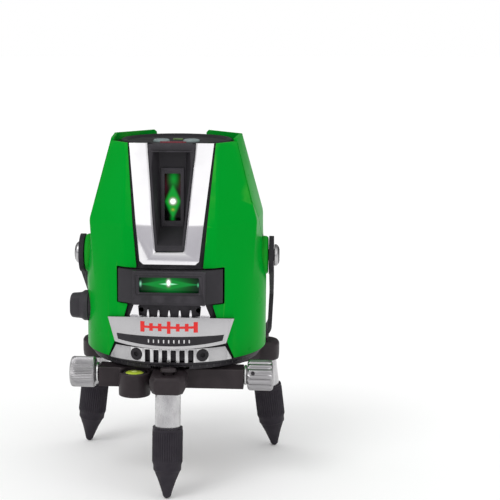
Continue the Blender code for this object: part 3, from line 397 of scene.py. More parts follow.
def lit_lens(name, low, high, along, glows, tint):
    """Dark glass with light in it. low and high are the window's corners in x and z. A glow is (kind, offset along,
    offset across, reach along, reach across, colour), in shares of the window's half sizes: "round" fades like a
    soft spot and "lozenge" has straight, tapering sides."""
    paint = Finish(name, tint, 0.10, Specular_IOR_Level=0.12)
    split = paint.node("ShaderNodeSeparateXYZ")
    paint.link(paint.place.outputs["Object"], split.inputs["Vector"])
    axes = {"x": split.outputs["X"], "z": split.outputs["Z"]}
    middle = {"x": (low[0] + high[0]) / 2, "z": (low[1] + high[1]) / 2 - FLOOR_Z}
    half = {"x": (high[0] - low[0]) / 2, "z": (high[1] - low[1]) / 2}
    across = "x" if along == "z" else "z"

    def maths(operation, first, second=None):
        made = paint.node("ShaderNodeMath", operation=operation)
        for socket, value in zip(made.inputs, (first, second)):
            if isinstance(value, float):
                socket.default_value = value
            elif value is not None:
                paint.link(value, socket)
        return made.outputs[0]

    def distance(axis, offset, reach, kind):
        shifted = maths("SUBTRACT", axes[axis], middle[axis] + offset * half[axis])
        share = maths("DIVIDE", shifted, reach * half[axis])
        return maths("MULTIPLY", share, share) if kind == "round" else maths("ABSOLUTE", share)

    total = None
    for kind, shift_along, shift_across, reach_along, reach_across, colour in glows:
        first = distance(along, shift_along, reach_along, kind)
        second = distance(across, shift_across, reach_across, kind)
        far = maths("ADD", first, second)
        if kind == "round":
            share = maths("EXPONENT", maths("MULTIPLY", far, -1.0))
        else:
            ease = paint.node("ShaderNodeMapRange", interpolation_type="SMOOTHSTEP")
            for key, number in (("From Min", 1.08), ("From Max", 0.62), ("To Min", 0.0), ("To Max", 1.0)):
                ease.inputs[key].default_value = number
            paint.link(far, ease.inputs["Value"])
            share = ease.outputs["Result"]
        shade = paint.node("ShaderNodeMix", data_type="RGBA")
        shade.inputs["A"].default_value = (0, 0, 0, 1)
        shade.inputs["B"].default_value = (*colour, 1)
        paint.link(share, shade.inputs["Factor"])
        if total is not None:
            sum_up = paint.node("ShaderNodeMix", data_type="RGBA", blend_type="LIGHTEN")
            sum_up.inputs["Factor"].default_value = 1.0
            paint.link(total, sum_up.inputs["A"])
            paint.link(shade.outputs["Result"], sum_up.inputs["B"])
            total = sum_up.outputs["Result"]
        else:
            total = shade.outputs["Result"]
    paint.link(total, paint.shader.inputs["Emission Color"])
    paint.shader.inputs["Emission Strength"].default_value = 1.0
    paint.vary_roughness(0.03, scale=300)
    return paint.material


# ---- shape tools -----------------------------------------------------------------------------------
def helper(name, mesh):
    item = bpy.data.objects.new(name, mesh)
    bpy.context.scene.collection.objects.link(item)
    return item


def from_bmesh(name, shape):
    bmesh.ops.recalc_face_normals(shape, faces=shape.faces)
    mesh = bpy.data.meshes.new(name)
    shape.to_mesh(mesh)
    shape.free()
    return helper(name, mesh)


def combine(item, others, operation):
    for other in others:
        change = item.modifiers.new(operation.lower(), "BOOLEAN")
        change.operation = operation
        change.object = other
    return item


def cut(item, *others):
    return combine(item, others, "DIFFERENCE")


def join(item, *others):
    return combine(item, others, "UNION")


def keep(item, *others):
    return combine(item, others, "INTERSECT")


def helpers_of(item):
    found = []
    for change in item.modifiers:
        if change.type == "BOOLEAN":
            found += [change.object] + helpers_of(change.object)
    return found


def settle(item):
    """Applies every modifier and removes the helpers, so that the mesh is final."""
    bpy.context.view_layer.update()
    graph = bpy.context.evaluated_depsgraph_get()
    mesh = bpy.data.meshes.new_from_object(item.evaluated_get(graph))
    mesh.transform(item.matrix_world)
    used = helpers_of(item)
    item.modifiers.clear()
    item.data = mesh
    item.matrix_world = Matrix.Identity(4)
    for other in set(used):
        bpy.data.objects.remove(other)
    return item


def soften(item, width=0.0004, segments=3, angle=38):
    """Rounds the edges that are sharper than this angle."""
    settle(item)
    shape = bmesh.new()
    shape.from_mesh(item.data)
    bmesh.ops.remove_doubles(shape, verts=shape.verts, dist=0.00001)
    bmesh.ops.dissolve_limit(
        shape, angle_limit=math.radians(1), verts=shape.verts, edges=shape.edges
    )
    shape.to_mesh(item.data)
    shape.free()
    bevel = item.modifiers.new("edges", "BEVEL")
    bevel.width = width
    bevel.segments = segments
    bevel.limit_method = "ANGLE"
    bevel.angle_limit = math.radians(angle)
    bevel.miter_outer = "MITER_ARC"
    return settle(item)


def cast(item, voxel=0.0007, rounds=4):
    """Remeshes and smooths a joined shape, so that its edges and corners are rounded like a casting's."""
    settle(item)
    grid = item.modifiers.new("grid", "REMESH")
    grid.mode = "VOXEL"
    grid.voxel_size = voxel
    relax = item.modifiers.new("relax", "SMOOTH")
    relax.iterations = rounds
    relax.factor = 0.5
    return settle(item)


def piece(item, name, material, node, body=None, smooth=32, replace=True):
    """Makes the item a finished piece that stands for a CAD node and rides on its body."""
    if item.modifiers:
        settle(item)
    item.data.transform(Matrix.Translation((0, 0, -FLOOR_Z)))
    item.name = name
    item.data.name = name
    item.data.materials.clear()
    item.data.materials.append(material)
    item.data.shade_smooth()
    item.data.set_sharp_from_angle(angle=math.radians(smooth))
    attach(item, body or BODY_OF[node])
    if replace:
        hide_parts(node)
    return item


def block(low, high):
    shape = bmesh.new()
    low, high = Vector(low), Vector(high)
    place = Matrix.Translation((low + high) / 2) @ Matrix.Diagonal((*(high - low), 1))
    bmesh.ops.create_cube(shape, size=1, matrix=place)
    return from_bmesh("block", shape)


def rod(start, end, radius, radius_end=None, segments=48):
    start, end = Vector(start), Vector(end)
    shape = bmesh.new()
    bmesh.ops.create_cone(
        shape,
        cap_ends=True,
        segments=segments,
        radius1=radius,
        radius2=radius if radius_end is None else radius_end,
        depth=(end - start).length,
        matrix=Matrix.Translation((start + end) / 2)
        @ (end - start).to_track_quat("Z", "Y").to_matrix().to_4x4(),
    )
    return from_bmesh("rod", shape)


def hull(points):
    shape = bmesh.new()
    for point in points:
        shape.verts.new(point)
    bmesh.ops.convex_hull(shape, input=shape.verts)
    return from_bmesh("hull", shape)


def loft(rings, tube=False):
    """Closed rings of equally many points joined in order; a tube joins the last to the first."""
    shape = bmesh.new()
    rows = [[shape.verts.new(point) for point in points] for points in rings]
    pairs = list(zip(rows, rows[1:])) + ([(rows[-1], rows[0])] if tube else [])
    for lower, upper in pairs:
        for i in range(len(lower)):
            j = (i + 1) % len(lower)
            shape.faces.new((lower[i], lower[j], upper[j], upper[i]))
    if not tube:
        shape.faces.new(rows[0])
        shape.faces.new(rows[-1])
    return from_bmesh("loft", shape)


def turned(profile, place=None, steps=72, shape_radius=None, closed=False):
    """(radius, height) points turned about +Z of the matrix. shape_radius(angle, radius, height) may flute it."""
    place = place or Matrix.Identity(4)
    rings = []
    for radius, height in profile:
        ring = []
        for step in range(steps):
            angle = 2 * math.pi * step / steps
            reach = shape_radius(angle, radius, height) if shape_radius else radius
            ring.append(place @ Vector((reach * math.cos(angle), reach * math.sin(angle), height)))
        rings.append(ring)
    return loft(rings, tube=closed)


def ring(inner, outer, low, high, steps=120, place=None):
    return turned([(outer, high), (outer, low), (inner, low), (inner, high)], place, steps, closed=True)


def fillet(points, radii, steps=5):
    """A closed outline with its corners rounded. radii is one radius, or one for each corner."""
    if not hasattr(radii, "__len__"):
        radii = [radii] * len(points)
    made = []
    for index, corner in enumerate(points):
        radius = radii[index]
        here = Vector(corner)
        if not radius:
            made.append(tuple(here))
            continue
        back = Vector(points[index - 1]) - here
        ahead = Vector(points[(index + 1) % len(points)]) - here
        half = back.angle(ahead) / 2
        reach = min(radius / math.tan(half), 0.48 * back.length, 0.48 * ahead.length)
        start, end = here + back.normalized() * reach, here + ahead.normalized() * reach
        for step in range(steps + 1):
            share = step / steps
            first = start.lerp(here, share)
            made.append(tuple(first.lerp(here.lerp(end, share), share)))
    return made


def plate(outline, low, high, facing="Z"):
    """A flat outline drawn from `low` to `high` along one axis: (x, y), (x, z) or (y, z) points."""
    order = {"Z": lambda a, b, c: (a, b, c), "Y": lambda a, b, c: (a, c, b), "X": lambda a, b, c: (c, a, b)}
    place = order[facing]
    return loft([[place(a, b, low) for a, b in outline], [place(a, b, high) for a, b in outline]])


def rounded_box(half, low, high, radii):
    """The outline of a box `half` either side of the middle, from `low` to `high`, with rounded corners."""
    return fillet([(-half, low), (half, low), (half, high), (-half, high)], radii)


def mirrored(right):
    """A whole outline from the points of its right half, top to bottom."""
    return [(-x, z) for x, z in right] + [(x, z) for x, z in reversed(right)]


def blend(first, second, share):
    return first + (second - first) * share


# ---- head outline ----------------------------------------------------------------------------------
KNEE_SOFT = 0.0022
EDGE_SPANS = 12


def soft_ramp(value, softness=KNEE_SOFT):
    """max(0, value) with its kink rounded."""
    if abs(value) < softness:
        return (value + softness) ** 2 / (4 * softness)
    return max(0.0, value)


def head_ring(z, inset=0.0):
    share = soft_ramp(z - KNEE_Z) / (FRONT_TOP_Z - KNEE_Z)
    roundness = min(1.0, soft_ramp(KNEE_Z - z) / (KNEE_Z - DRUM_TOP_Z))
    right = [
        (blend(a[0], b[0], share), blend(a[1], b[1], share)) for a, b in zip(KNEE_PLAN, TOP_PLAN)
    ]
    corners = right + [(-x, y) for x, y in reversed(right)]
    outline = fillet(corners, blend(0.0030, 0.0022, share), steps=5)
    count = len(corners)
    dense = []
    per_corner = len(outline) // count
    for index in range(count):
        dense += outline[index * per_corner : (index + 1) * per_corner]
        first = Vector(outline[(index + 1) * per_corner - 1])
        second = Vector(outline[((index + 1) * per_corner) % len(outline)])
        dense += [tuple(first.lerp(second, step / EDGE_SPANS)) for step in range(1, EDGE_SPANS)]
    points = []
    for x, y in dense:
        reach = math.hypot(x, y)
        wanted = blend(reach, DRUM_R, roundness) - inset
        points.append((x * wanted / reach, y * wanted / reach, z))
    return points


def head_levels(low, high):
    steps = 34
    even = [blend(low, high, step / steps) for step in range(steps + 1)]
    near_knee = [KNEE_Z + KNEE_SOFT * share for share in (-1, -0.5, 0, 0.5, 1)]
    return sorted(set(even + [z for z in near_knee if low < z < high]))


def head_shell(inset, thickness, low, high):
    levels = head_levels(low, high)
    outside = [head_ring(z, inset) for z in levels]
    inside = [head_ring(z, inset + thickness) for z in reversed(levels)]
    return loft(outside + inside, tube=True)


def half_bezel(z):
    return blend(BEZEL_HALF_BOTTOM, BEZEL_HALF_TOP, (z - BEZEL_BOTTOM_Z) / (FRONT_TOP_Z - BEZEL_BOTTOM_Z))


def half_mouth(z):
    return blend(MOUTH_HALF_BOTTOM, MOUTH_HALF_TOP, (z - MOUTH_BOTTOM_Z) / (FRONT_TOP_Z - MOUTH_BOTTOM_Z))


def front_y(z, proud=0.0):
    share = soft_ramp(z - KNEE_Z, 0.0012) / (FRONT_TOP_Z - KNEE_Z)
    below = soft_ramp(KNEE_Z - z, 0.0012) / (KNEE_Z - DRUM_TOP_Z)
    return blend(KNEE_PLAN[0][1], TOP_PLAN[0][1], share) - 0.005 * below - proud


# ---- green panels ----------------------------------------------------------------------------------
PARTING = [(-0.0270, 0.25), (-0.0270, 0.236), (-0.0325, 0.196), (0.003, 0.158), (0.003, 0.08)]


def front_panel_outline(side):
    inner = [
        (half_bezel(FRONT_TOP_Z) + PANEL_GAP + 0.00036, FRONT_TOP_Z + 0.004),
        (PANEL_FOOT_HALF, HOUSING_Z[1] + PANEL_GAP),
        (EAR_HALF + PANEL_GAP, HOUSING_Z[1] + PANEL_GAP),
        (EAR_HALF + PANEL_GAP, HOUSING_Z[0] - PANEL_GAP),
        (0.0285, HOUSING_Z[0] - PANEL_GAP),
        (0.0310, 0.1210),
        (0.0372, 0.1050),
        (0.0430, 0.0905),
    ]
    radii = [0, 0.0008, 0.0008, 0.0010, 0.0008, 0.004, 0.008, 0, 0, 0]
    outline = fillet(inner + [(0.075, 0.0905), (0.075, FRONT_TOP_Z + 0.004)], radii)
    return [(side * x, z) for x, z in outline]


def rear_panel_outline(side):
    top = REAR_TOP_Z
    corners = [(0.0198, top + 0.004), (0.0198, top), (0.0180, top - 0.0018), (0.0180, 0.1780), (0.0220, 0.1740)]
    corners += [(DOOR_HALF + 0.0012, 0.1740), (DOOR_HALF + 0.0012, 0.0905), (0.075, 0.0905), (0.075, top + 0.004)]
    outline = fillet(corners, [0, 0.0010, 0.0010, 0.002, 0.002, 0.0006, 0, 0, 0])
    return [(side * x, z) for x, z in outline]


def side_region(front):
    half = PANEL_GAP / 2
    edge = [(y - half if front else y + half, z) for y, z in PARTING]
    far = -0.080 if front else 0.080
    return edge + [(far, 0.08), (far, 0.25)]


def make_panel(side, front, name, material):
    top = FRONT_TOP_Z if front else REAR_TOP_Z
    item = head_shell(0.0, PANEL_T - 0.0002, PANEL_BOTTOM_Z, top)
    outline = front_panel_outline(side) if front else rear_panel_outline(side)
    reach = (-0.085, 0.025) if front else (-0.040, 0.085)
    span = (0.005, 0.080) if side > 0 else (-0.080, -0.005)
    keep(item, plate(outline, *reach, facing="Y"), plate(side_region(front), *span, facing="X"))
    axis = (0, HANDLE_AXIS_Z)
    if front:
        cut(item, rod((side * 0.050, *axis), (side * 0.070, *axis), 0.0046))
    else:
        cut(item, rod((side * 0.050, *axis), (side * 0.070, *axis), BOSS_R + PANEL_GAP, segments=72))
    if front and side < 0:
        cut(item, rod((-0.045, LOCK_Y, LOCK_Z), (-0.075, LOCK_Y, LOCK_Z), 0.0113, segments=72))
    soften(item, 0.00045, 3, angle=42)
    piece(item, name + "_shell", material, name)
    if front:
        turn = Matrix.Translation((0, 0, HANDLE_AXIS_Z)) @ Matrix.Rotation(side * math.pi / 2, 4, "Y")
        crown = [
            (0.0043, 0.0590), (0.0128, 0.0590), (BOSS_R, 0.0612), (BOSS_R - 0.0002, 0.0630), (0.0126, 0.0640),
            (0.0118, BOSS_X), (0.0043, BOSS_X),
        ]
        boss = turned(crown, turn, 96, closed=True)
        piece(boss, name + "_boss", material, name, smooth=50, replace=False)


def make_panels(material):
    for word, side in (("left", -1), ("right", 1)):
        make_panel(side, True, f"panel_front_{word}", material)
        make_panel(side, False, f"panel_rear_{word}", material)


# ---- chrome front ----------------------------------------------------------------------------------
def mouth_outline(grow, top=FRONT_TOP_Z + 0.004):
    right = [(half_mouth(top) + grow, top), (half_mouth(MOUTH_BOTTOM_Z) + grow, MOUTH_BOTTOM_Z - grow)]
    return fillet(mirrored(right), [0, 0.0009, 0.0009, 0], steps=4)


def mouth_chamfers(width):
    """Cutters that slope the bezel's inner edge, one above the knee and one below it."""
    cutters = []
    for levels in ((MOUTH_BOTTOM_Z, KNEE_Z + 0.0002), (KNEE_Z - 0.0002, FRONT_TOP_Z + 0.003)):
        points = []
        for z in levels:
            low = z - width if z == MOUTH_BOTTOM_Z else z
            for side in (-1, 1):
                outer_y = front_y(low, BEZEL_PROUD + 0.0003 * width / 0.001)
                points.append((side * (half_mouth(z) + width * 1.3), outer_y, low))
                points.append((side * (half_mouth(z) - 0.0001), front_y(z, BEZEL_PROUD - width), z))
        cutters.append(hull(points))
    return cutters


def make_u_bezel(material):
    near_knee = [KNEE_Z + step for step in (-0.0012, -0.0004, 0.0004, 0.0012)]
    levels = [BEZEL_BOTTOM_Z - 0.0005, 0.170, *near_knee, 0.21, FRONT_TOP_Z]
    outer = [(front_y(z, BEZEL_PROUD), z) for z in levels]
    inner = [(front_y(z, BEZEL_PROUD - BEZEL_T), z) for z in reversed(levels)]
    item = plate(outer + inner, -0.030, 0.030, facing="X")
    top, bottom = FRONT_TOP_Z + 0.002, BEZEL_BOTTOM_Z - 0.0004
    nick = 0.0022
    right = [(half_bezel(top), top), (half_bezel(bottom + nick), bottom + nick), (half_bezel(bottom) - nick, bottom)]
    keep(item, plate(fillet(mirrored(right), [0, 0.001, 0.001, 0.001, 0.001, 0]), -0.080, -0.030, facing="Y"))
    cut(item, plate(mouth_outline(0.0), -0.080, -0.030, facing="Y"), *mouth_chamfers(0.0013))
    soften(item, 0.00035, 3, angle=20)
    piece(item, "u_bezel_trim", material, "u_bezel")


def drum_plate(outline, inner, outer):
    low = min(z for _, z in outline) - 0.005
    high = max(z for _, z in outline) + 0.005
    return keep(ring(inner, outer, low, high, steps=180), plate(outline, -0.080, -0.030, facing="Y"))


def make_vent(bright, dark):
    low, high = VENT_Z
    outline = fillet([(-0.0272, low), (0.0272, low), (0.0238, high), (-0.0238, high)], 0.0008)
    item = drum_plate(outline, 0.0608, 0.0632)
    slots, pitch, half = 6, 0.0071, 0.0027
    for index in range(slots):
        x = (index - (slots - 1) / 2) * pitch
        wide = half + 0.0006
        foot, head = low + 0.0010, high - 0.0010
        slot = fillet([(x - half, foot), (x + half, foot), (x + wide, head), (x - wide, head)], 0.0005)
        cut(item, plate(slot, *DRUM_CUT_Y, facing="Y"))
    edge = (slots - 1) / 2 * pitch + half
    cut(item, block((-edge, -0.070, 0.1268), (edge, -0.055, high + 0.001)))
    soften(item, 0.00045, 3)
    piece(item, "upper_vent_trim", bright, "upper_vent_grille")


def bowed(half, z_side, z_middle, steps=36):
    points = []
    for step in range(steps + 1):
        share = 2 * step / steps - 1
        points.append((half * share, z_middle + (z_side - z_middle) * share * share))
    return points


def make_badge(bright, dark, red):
    outline = bowed(0.0375, 0.1030, 0.1010) + bowed(0.0427, 0.1192, 0.1228)[::-1]
    item = drum_plate(outline, *BADGE_R)
    soften(item, 0.0007, 4)
    piece(item, "badge_frame", bright, "badge_plate")
    band = bowed(0.0352, 0.1052, 0.1030) + bowed(0.0362, 0.1092, 0.1096)[::-1]
    strip = drum_plate(band, 0.0655, 0.0662)
    soften(strip, 0.00015, 2)
    piece(strip, "badge_band", dark, "badge_plate", replace=False)
    make_mark(red, bright)


def make_mark(red, bright):
    """A plain pictogram in place of lettering: a long level line crossed by a plumb line, between four bars."""
    z = 0.1158
    bars = [block((-0.0178, -0.08, z - 0.0008), (0.0178, -0.05, z + 0.0008))]
    for x, tall in ((0, 0.0042), (-0.0060, 0.0026), (0.0060, 0.0026), (-0.0119, 0.0026), (0.0119, 0.0026)):
        bars.append(block((x - 0.0012, -0.08, z - tall), (x + 0.0012, -0.05, z + tall)))
    for side in (-1, 1):
        bars.append(block((side * 0.0178 - 0.0014, -0.08, z - 0.0036), (side * 0.0178 + 0.0014, -0.05, z + 0.0036)))
    mark = ring(0.0657, 0.06625, 0.108, 0.122, steps=180)
    whole = bars[0]
    join(whole, *bars[1:])
    keep(mark, whole)
    soften(mark, 0.00012, 2)
    piece(mark, "badge_mark", red, "badge_plate", replace=False)
    ticks = ring(0.0658, 0.06635, 0.100, 0.112, steps=180)
    pitch, half = 0.0034, 0.0004
    rows = [
        block((x * pitch - half, -0.08, 0.1052), (x * pitch + half, -0.05, 0.1074)) for x in range(-4, 5)
    ]
    join(rows[0], *rows[1:])
    keep(ticks, rows[0])
    piece(ticks, "badge_scale", bright, "badge_plate", replace=False)


def radial_matrix(x, z, drum=0.0640):
    """+Z points out of the drum at this x; the matrix's origin is on the drum's axis."""
    turn = math.asin(x / drum)
    return Matrix.Translation((0, 0, z)) @ Matrix.Rotation(turn, 4, "Z") @ Matrix.Rotation(math.pi / 2, 4, "X")


def make_lower_bezel(bright, dark):
    low, high = LOWER_BEZEL_Z
    outline = fillet([(-0.0416, low), (0.0416, low), (0.0368, high), (-0.0368, high)], 0.0008)
    item = drum_plate(outline, *LOWER_BEZEL_R)
    for index in range(6):
        x = (index - 2.5) * SLOT_PITCH
        sides = [(x - 0.0018, 0.0900), (x + 0.0018, 0.0900), (x + 0.0018, 0.1000), (x - 0.0018, 0.1000)]
        slot = fillet(sides, [0, 0, 0.0007, 0.0007])
        cut(item, plate(slot, *DRUM_CUT_Y, facing="Y"))
    for side in (-1, 1):
        place = radial_matrix(side * SCREW_X, SCREW_Z)
        cut(item, rod(place @ Vector((0, 0, 0.0622)), place @ Vector((0, 0, 0.070)), 0.0043))
        cut(item, rod(place @ Vector((0, 0, 0.050)), place @ Vector((0, 0, 0.070)), 0.0021))
    soften(item, 0.0005, 3)
    piece(item, "lower_bezel_trim", bright, "lower_bezel")
    for word, side in (("left", -1), ("right", 1)):
        place = radial_matrix(side * SCREW_X, SCREW_Z)
        profile = [
            (0.00002, 0.0545), (0.0018, 0.0545), (0.0018, 0.0626), (0.0037, 0.0626), (0.0040, 0.0629),
            (0.0040, 0.0645), (0.0036, 0.0650), (0.0027, 0.0651), (0.0022, 0.0649), (0.00002, 0.0649),
        ]
        screw = turned(profile, place, 48)
        cut(screw, rod(place @ Vector((0, 0, 0.0632)), place @ Vector((0, 0, 0.070)), 0.0018, segments=6))
        soften(screw, 0.00012, 2)
        piece(screw, f"bezel_cap_screw_{word}", dark, f"bezel_screw_{word}")


# ---- windows ---------------------------------------------------------------------------------------
def recess_solid(inset, back, sill, top, proud):
    low = MOUTH_BOTTOM_Z + inset
    points = []
    for side in (-1, 1):
        for z in (low, KNEE_Z, top):
            points.append((side * (half_mouth(z) - inset), front_y(z, proud), z))
        points.append((side * (0.0100 - inset / 2), back, top))
        points.append((side * (0.0086 - inset / 2), back, sill))
    return hull(points)


def make_vertical_window(dark, walls, surround_grey):
    body = recess_solid(GAP, RECESS_BACK_Y + 0.0022, 0.1762, 0.2352, -0.0004)
    cut(body, recess_solid(0.0014, RECESS_BACK_Y, 0.1794, 0.2312, 0.0060))
    half, low, high = V_WINDOW
    cut(body, block((-half, -0.042, low), (half, -0.025, high)))
    soften(body, 0.0003, 2, angle=20)
    piece(body, "window_trough", walls, "vertical_window_recess")
    wide, down, up = half + 0.0024, low - 0.0052, high + 0.0038
    outline = rounded_box(wide, down, up, 0.0006)
    surround = plate(outline, RECESS_BACK_Y - 0.0010, RECESS_BACK_Y + 0.0006, facing="Y")
    cut(surround, plate(rounded_box(half, low, high, 0.0004), -0.050, -0.020, facing="Y"))
    soften(surround, 0.0002, 2)
    piece(surround, "vertical_window_frame", surround_grey, "vertical_window_recess", replace=False)
    # painted shadow: a thin black strip stands for the shade in the gap under the cap's front lip
    line = plate(rounded_box(0.0142, 0.2300, 0.2311, 0.0003), -0.0444, -0.0425, facing="Y")
    soften(line, 0.0001, 2)
    piece(line, "trough_gap_painted_shadow", dark, "vertical_window_recess", replace=False)
    glows = [
        ("round", 0.74, 0.10, 0.30, 0.52, (0.0, 0.26, 0.022)),
        ("round", 0.30, 0.02, 0.34, 0.34, (0.0, 0.23, 0.018)),
        ("lozenge", -0.20, 0.0, 0.88, 1.12, (0.0, 0.32, 0.028)),
        ("round", -0.20, 0.0, 0.20, 0.52, (0.01, 0.75, 0.07)),
        ("round", -0.20, 0.0, 0.10, 0.30, (2.6, 2.9, 2.5)),
        ("round", -0.55, 0.0, 0.06, 0.20, (0.30, 0.55, 0.05)),
        ("round", -0.92, -0.05, 0.20, 0.24, (0.0, 0.20, 0.016)),
        ("round", 0.45, -0.90, 0.40, 0.26, (0.035, 0.006, 0.010)),
        ("round", 0.45, 0.95, 0.40, 0.26, (0.035, 0.006, 0.010)),
    ]
    lit = lit_lens("vertical_laser_light", (-half, low), (half, high), "z", glows, (0.004, 0.003, 0.004))
    back = RECESS_BACK_Y + 0.0022 + GAP
    wide, down, up = half + 0.0014, low - 0.0014, high + 0.0014
    pane = plate(rounded_box(wide, down, up, 0.0006), back, back + 0.0015, facing="Y")
    soften(pane, 0.0002, 2)
    piece(pane, "vertical_laser_lens", lit, "vertical_window_glass")


def housing_outline(inset, back):
    right = [
        (HOUSING_HALF - inset, HOUSING_FACE_Y + inset),
        (HOUSING_HALF - inset, -0.0618 + inset),
        (EAR_HALF - inset, -0.0545 + inset),
        (EAR_HALF - inset, back),
    ]
    return [(-x, y) for x, y in reversed(right)] + right


def make_horizontal_window(dark, border):
    low, high = HOUSING_Z
    body = plate(housing_outline(0.0, -0.0500), low, high)
    cut(body, plate(housing_outline(0.0020, -0.0450), low + 0.0020, high - 0.0020))
    half, bottom, top = H_WINDOW
    cut(body, plate(rounded_box(half, bottom, top, 0.0006), *DRUM_CUT_Y, facing="Y"))
    soften(body, 0.0005, 3, angle=30)
    piece(body, "horizontal_window_frame", dark, "horizontal_window_housing")
    outer = rounded_box(0.0236, low + 0.0012, high - 0.0012, 0.0010)
    inner = rounded_box(half + 0.0022, bottom - 0.0012, top + 0.0012, 0.0006)
    lip = plate(outer, HOUSING_FACE_Y - 0.0003, HOUSING_FACE_Y + 0.0005, facing="Y")
    cut(lip, plate(inner, *DRUM_CUT_Y, facing="Y"))
    soften(lip, 0.0002, 2)
    piece(lip, "horizontal_window_lip", border, "horizontal_window_housing", replace=False)
    glows = [
        ("round", 0.0, 0.0, 1.3, 0.95, (0.0, 0.030, 0.010)),
        ("lozenge", -0.02, 0.06, 1.10, 0.95, (0.0, 0.25, 0.030)),
        ("round", -0.02, 0.06, 0.62, 1.00, (0.0, 0.26, 0.034)),
        ("round", -0.02, 0.24, 0.10, 0.52, (0.02, 0.80, 0.22)),
        ("round", -0.02, 0.26, 0.052, 0.34, (2.6, 2.8, 2.5)),
        ("lozenge", -0.02, 0.10, 0.36, 0.22, (0.30, 0.95, 0.50)),
        ("round", -0.96, 0.10, 0.035, 0.30, (0.30, 0.75, 0.50)),
        ("round", 0.97, 0.02, 0.030, 0.22, (0.10, 0.55, 0.25)),
        ("round", 0.72, 0.06, 0.40, 0.09, (0.0, 0.26, 0.05)),
        ("round", -0.72, 0.06, 0.40, 0.09, (0.0, 0.26, 0.05)),
    ]
    lit = lit_lens("horizontal_laser_light", (-half, bottom), (half, top), "x", glows, (0.003, 0.006, 0.004))
    back = HOUSING_FACE_Y + 0.0020 + GAP
    wide, down, up = half + 0.0006, bottom - 0.002, top + 0.002
    pane = plate(rounded_box(wide, down, up, 0.0006), back, back + 0.0014, facing="Y")
    soften(pane, 0.0002, 2)
    piece(pane, "horizontal_laser_lens", lit, "horizontal_window_glass")


# ---- top -------------------------------------------------------------------------------------------
def make_top(dark, key, red):
    low, mid, high = 0.2293, 0.2316, 0.2330
    body = loft([head_ring(low, 0.0026), head_ring(mid, 0.0026), head_ring(high, 0.0040)])
    cap = [
        (0.00002, 0.2310), (0.0388, 0.2310), (0.0388, 0.2342), (0.0382, 0.2351), (0.0374, 0.2355), (0.0358, 0.2355),
        (0.0345, 0.2347), (0.0338, 0.2338), (0.00002, 0.2334),
    ]
    join(body, turned(cap, steps=144))
    cut(body, plate(rounded_box(0.0185, -0.060, -0.0320, [0, 0, 0.0012, 0.0012]), 0.220, 0.245))
    for side in (-1, 1):
        cut(body, rod((side * KEY_X, KEY_Y, 0.220), (side * KEY_X, KEY_Y, 0.240), 0.0060))
    cut(body, plate(rounded_box(0.0038, 0.0092, 0.0138, 0.0008), 0.220, 0.240))
    soften(body, 0.0003, 3, angle=30)
    piece(body, "top_cap", dark, "top_cover")
    strip = plate(rounded_box(0.0088, -0.0318, -0.0308, 0.0004), 0.2332, 0.2360)
    piece(strip, "cap_red_strip", red, "top_cover", replace=False)
    for word, side in (("left", -1), ("right", 1)):
        place = Matrix.Translation((side * KEY_X, KEY_Y, 0))
        profile = [
            (0.00002, 0.2262), (0.0066, 0.2262), (0.0066, 0.2285), (0.0057, 0.2285), (0.0057, 0.2341),
            (0.0055, 0.2347), (0.0048, 0.2351), (0.0036, 0.2353), (0.0022, 0.2352), (0.00002, 0.2351),
        ]
        button = turned(profile, place, 64)
        piece(button, f"key_cap_{word}", key, f"mode_button_{word}", smooth=50)


# ---- the rest of the head --------------------------------------------------------------------------
def make_skirt(dark):
    profile = [
        (SKIRT_R, 0.0907), (SKIRT_R, 0.0894), (SKIRT_R - 0.0003, 0.0889), (SKIRT_R - 0.0009, 0.0887),
        (0.0300, 0.0887), (0.0300, 0.0875),
        (0.0103, 0.0875), (0.0103, 0.0909), (0.0123, 0.0909), (0.0123, 0.0960), (0.0143, 0.0960),
        (0.0143, 0.0909), (SKIRT_R - 0.0003, 0.0909),
    ]
    item = turned(profile, steps=180, closed=True)
    piece(item, "turning_skirt", dark, "base_skirt", smooth=25)


def make_lock_knob(dark):
    axis = (LOCK_Y, LOCK_Z)
    place = Matrix.Translation((0, *axis)) @ Matrix.Rotation(-math.pi / 2, 4, "Y")
    profile = [
        (0.00002, 0.0607), (0.0105, 0.0607), (0.0107, 0.0610), (0.0107, 0.0636), (0.0104, 0.0644), (0.0094, 0.0658),
        (0.0092, 0.0666), (0.0087, 0.0720), (0.0082, 0.0730), (0.0070, 0.0737), (0.00002, 0.0738),
    ]
    grip = turned(profile, place, 72)
    for near, far in ((-0.0200, -0.0062), (0.0062, 0.0200)):
        cut(grip, block((-0.080, LOCK_Y + near, LOCK_Z - 0.020), (-0.0668, LOCK_Y + far, LOCK_Z + 0.020)))
    join(grip, rod((-0.0612, *axis), (-0.0300, *axis), 0.0040))
    pin = (LOCK_Y + LOCK_CRANK * math.cos(math.pi / 4), LOCK_Z - LOCK_CRANK * math.sin(math.pi / 4))
    join(grip, rod((-0.0310, *pin), (-0.0262, *pin), 0.0015, segments=24))
    soften(grip, 0.0007, 4, angle=40)
    piece(grip, "lock_grip", dark, "lock_knob")


def make_battery_door(dark):
    low, high = 0.0990, 0.1725
    item = head_shell(0.0, PANEL_T - 0.0002, PANEL_BOTTOM_Z, REAR_TOP_Z)
    outline = rounded_box(DOOR_HALF, low, high, [0.001, 0.001, 0.004, 0.004])
    keep(item, plate(outline, 0.030, 0.080, facing="Y"))
    cut(item, rod((-0.0110, 0.0628, 0.1660), (0.0110, 0.0628, 0.1660), 0.0022))
    for index in range(5):
        z = 0.150 - index * 0.0030
        cut(item, rod((-0.0150, 0.0634, z), (0.0150, 0.0634, z), 0.0007, segments=16))
    soften(item, 0.00035, 3, angle=40)
    piece(item, "battery_hatch", dark, "battery_door")


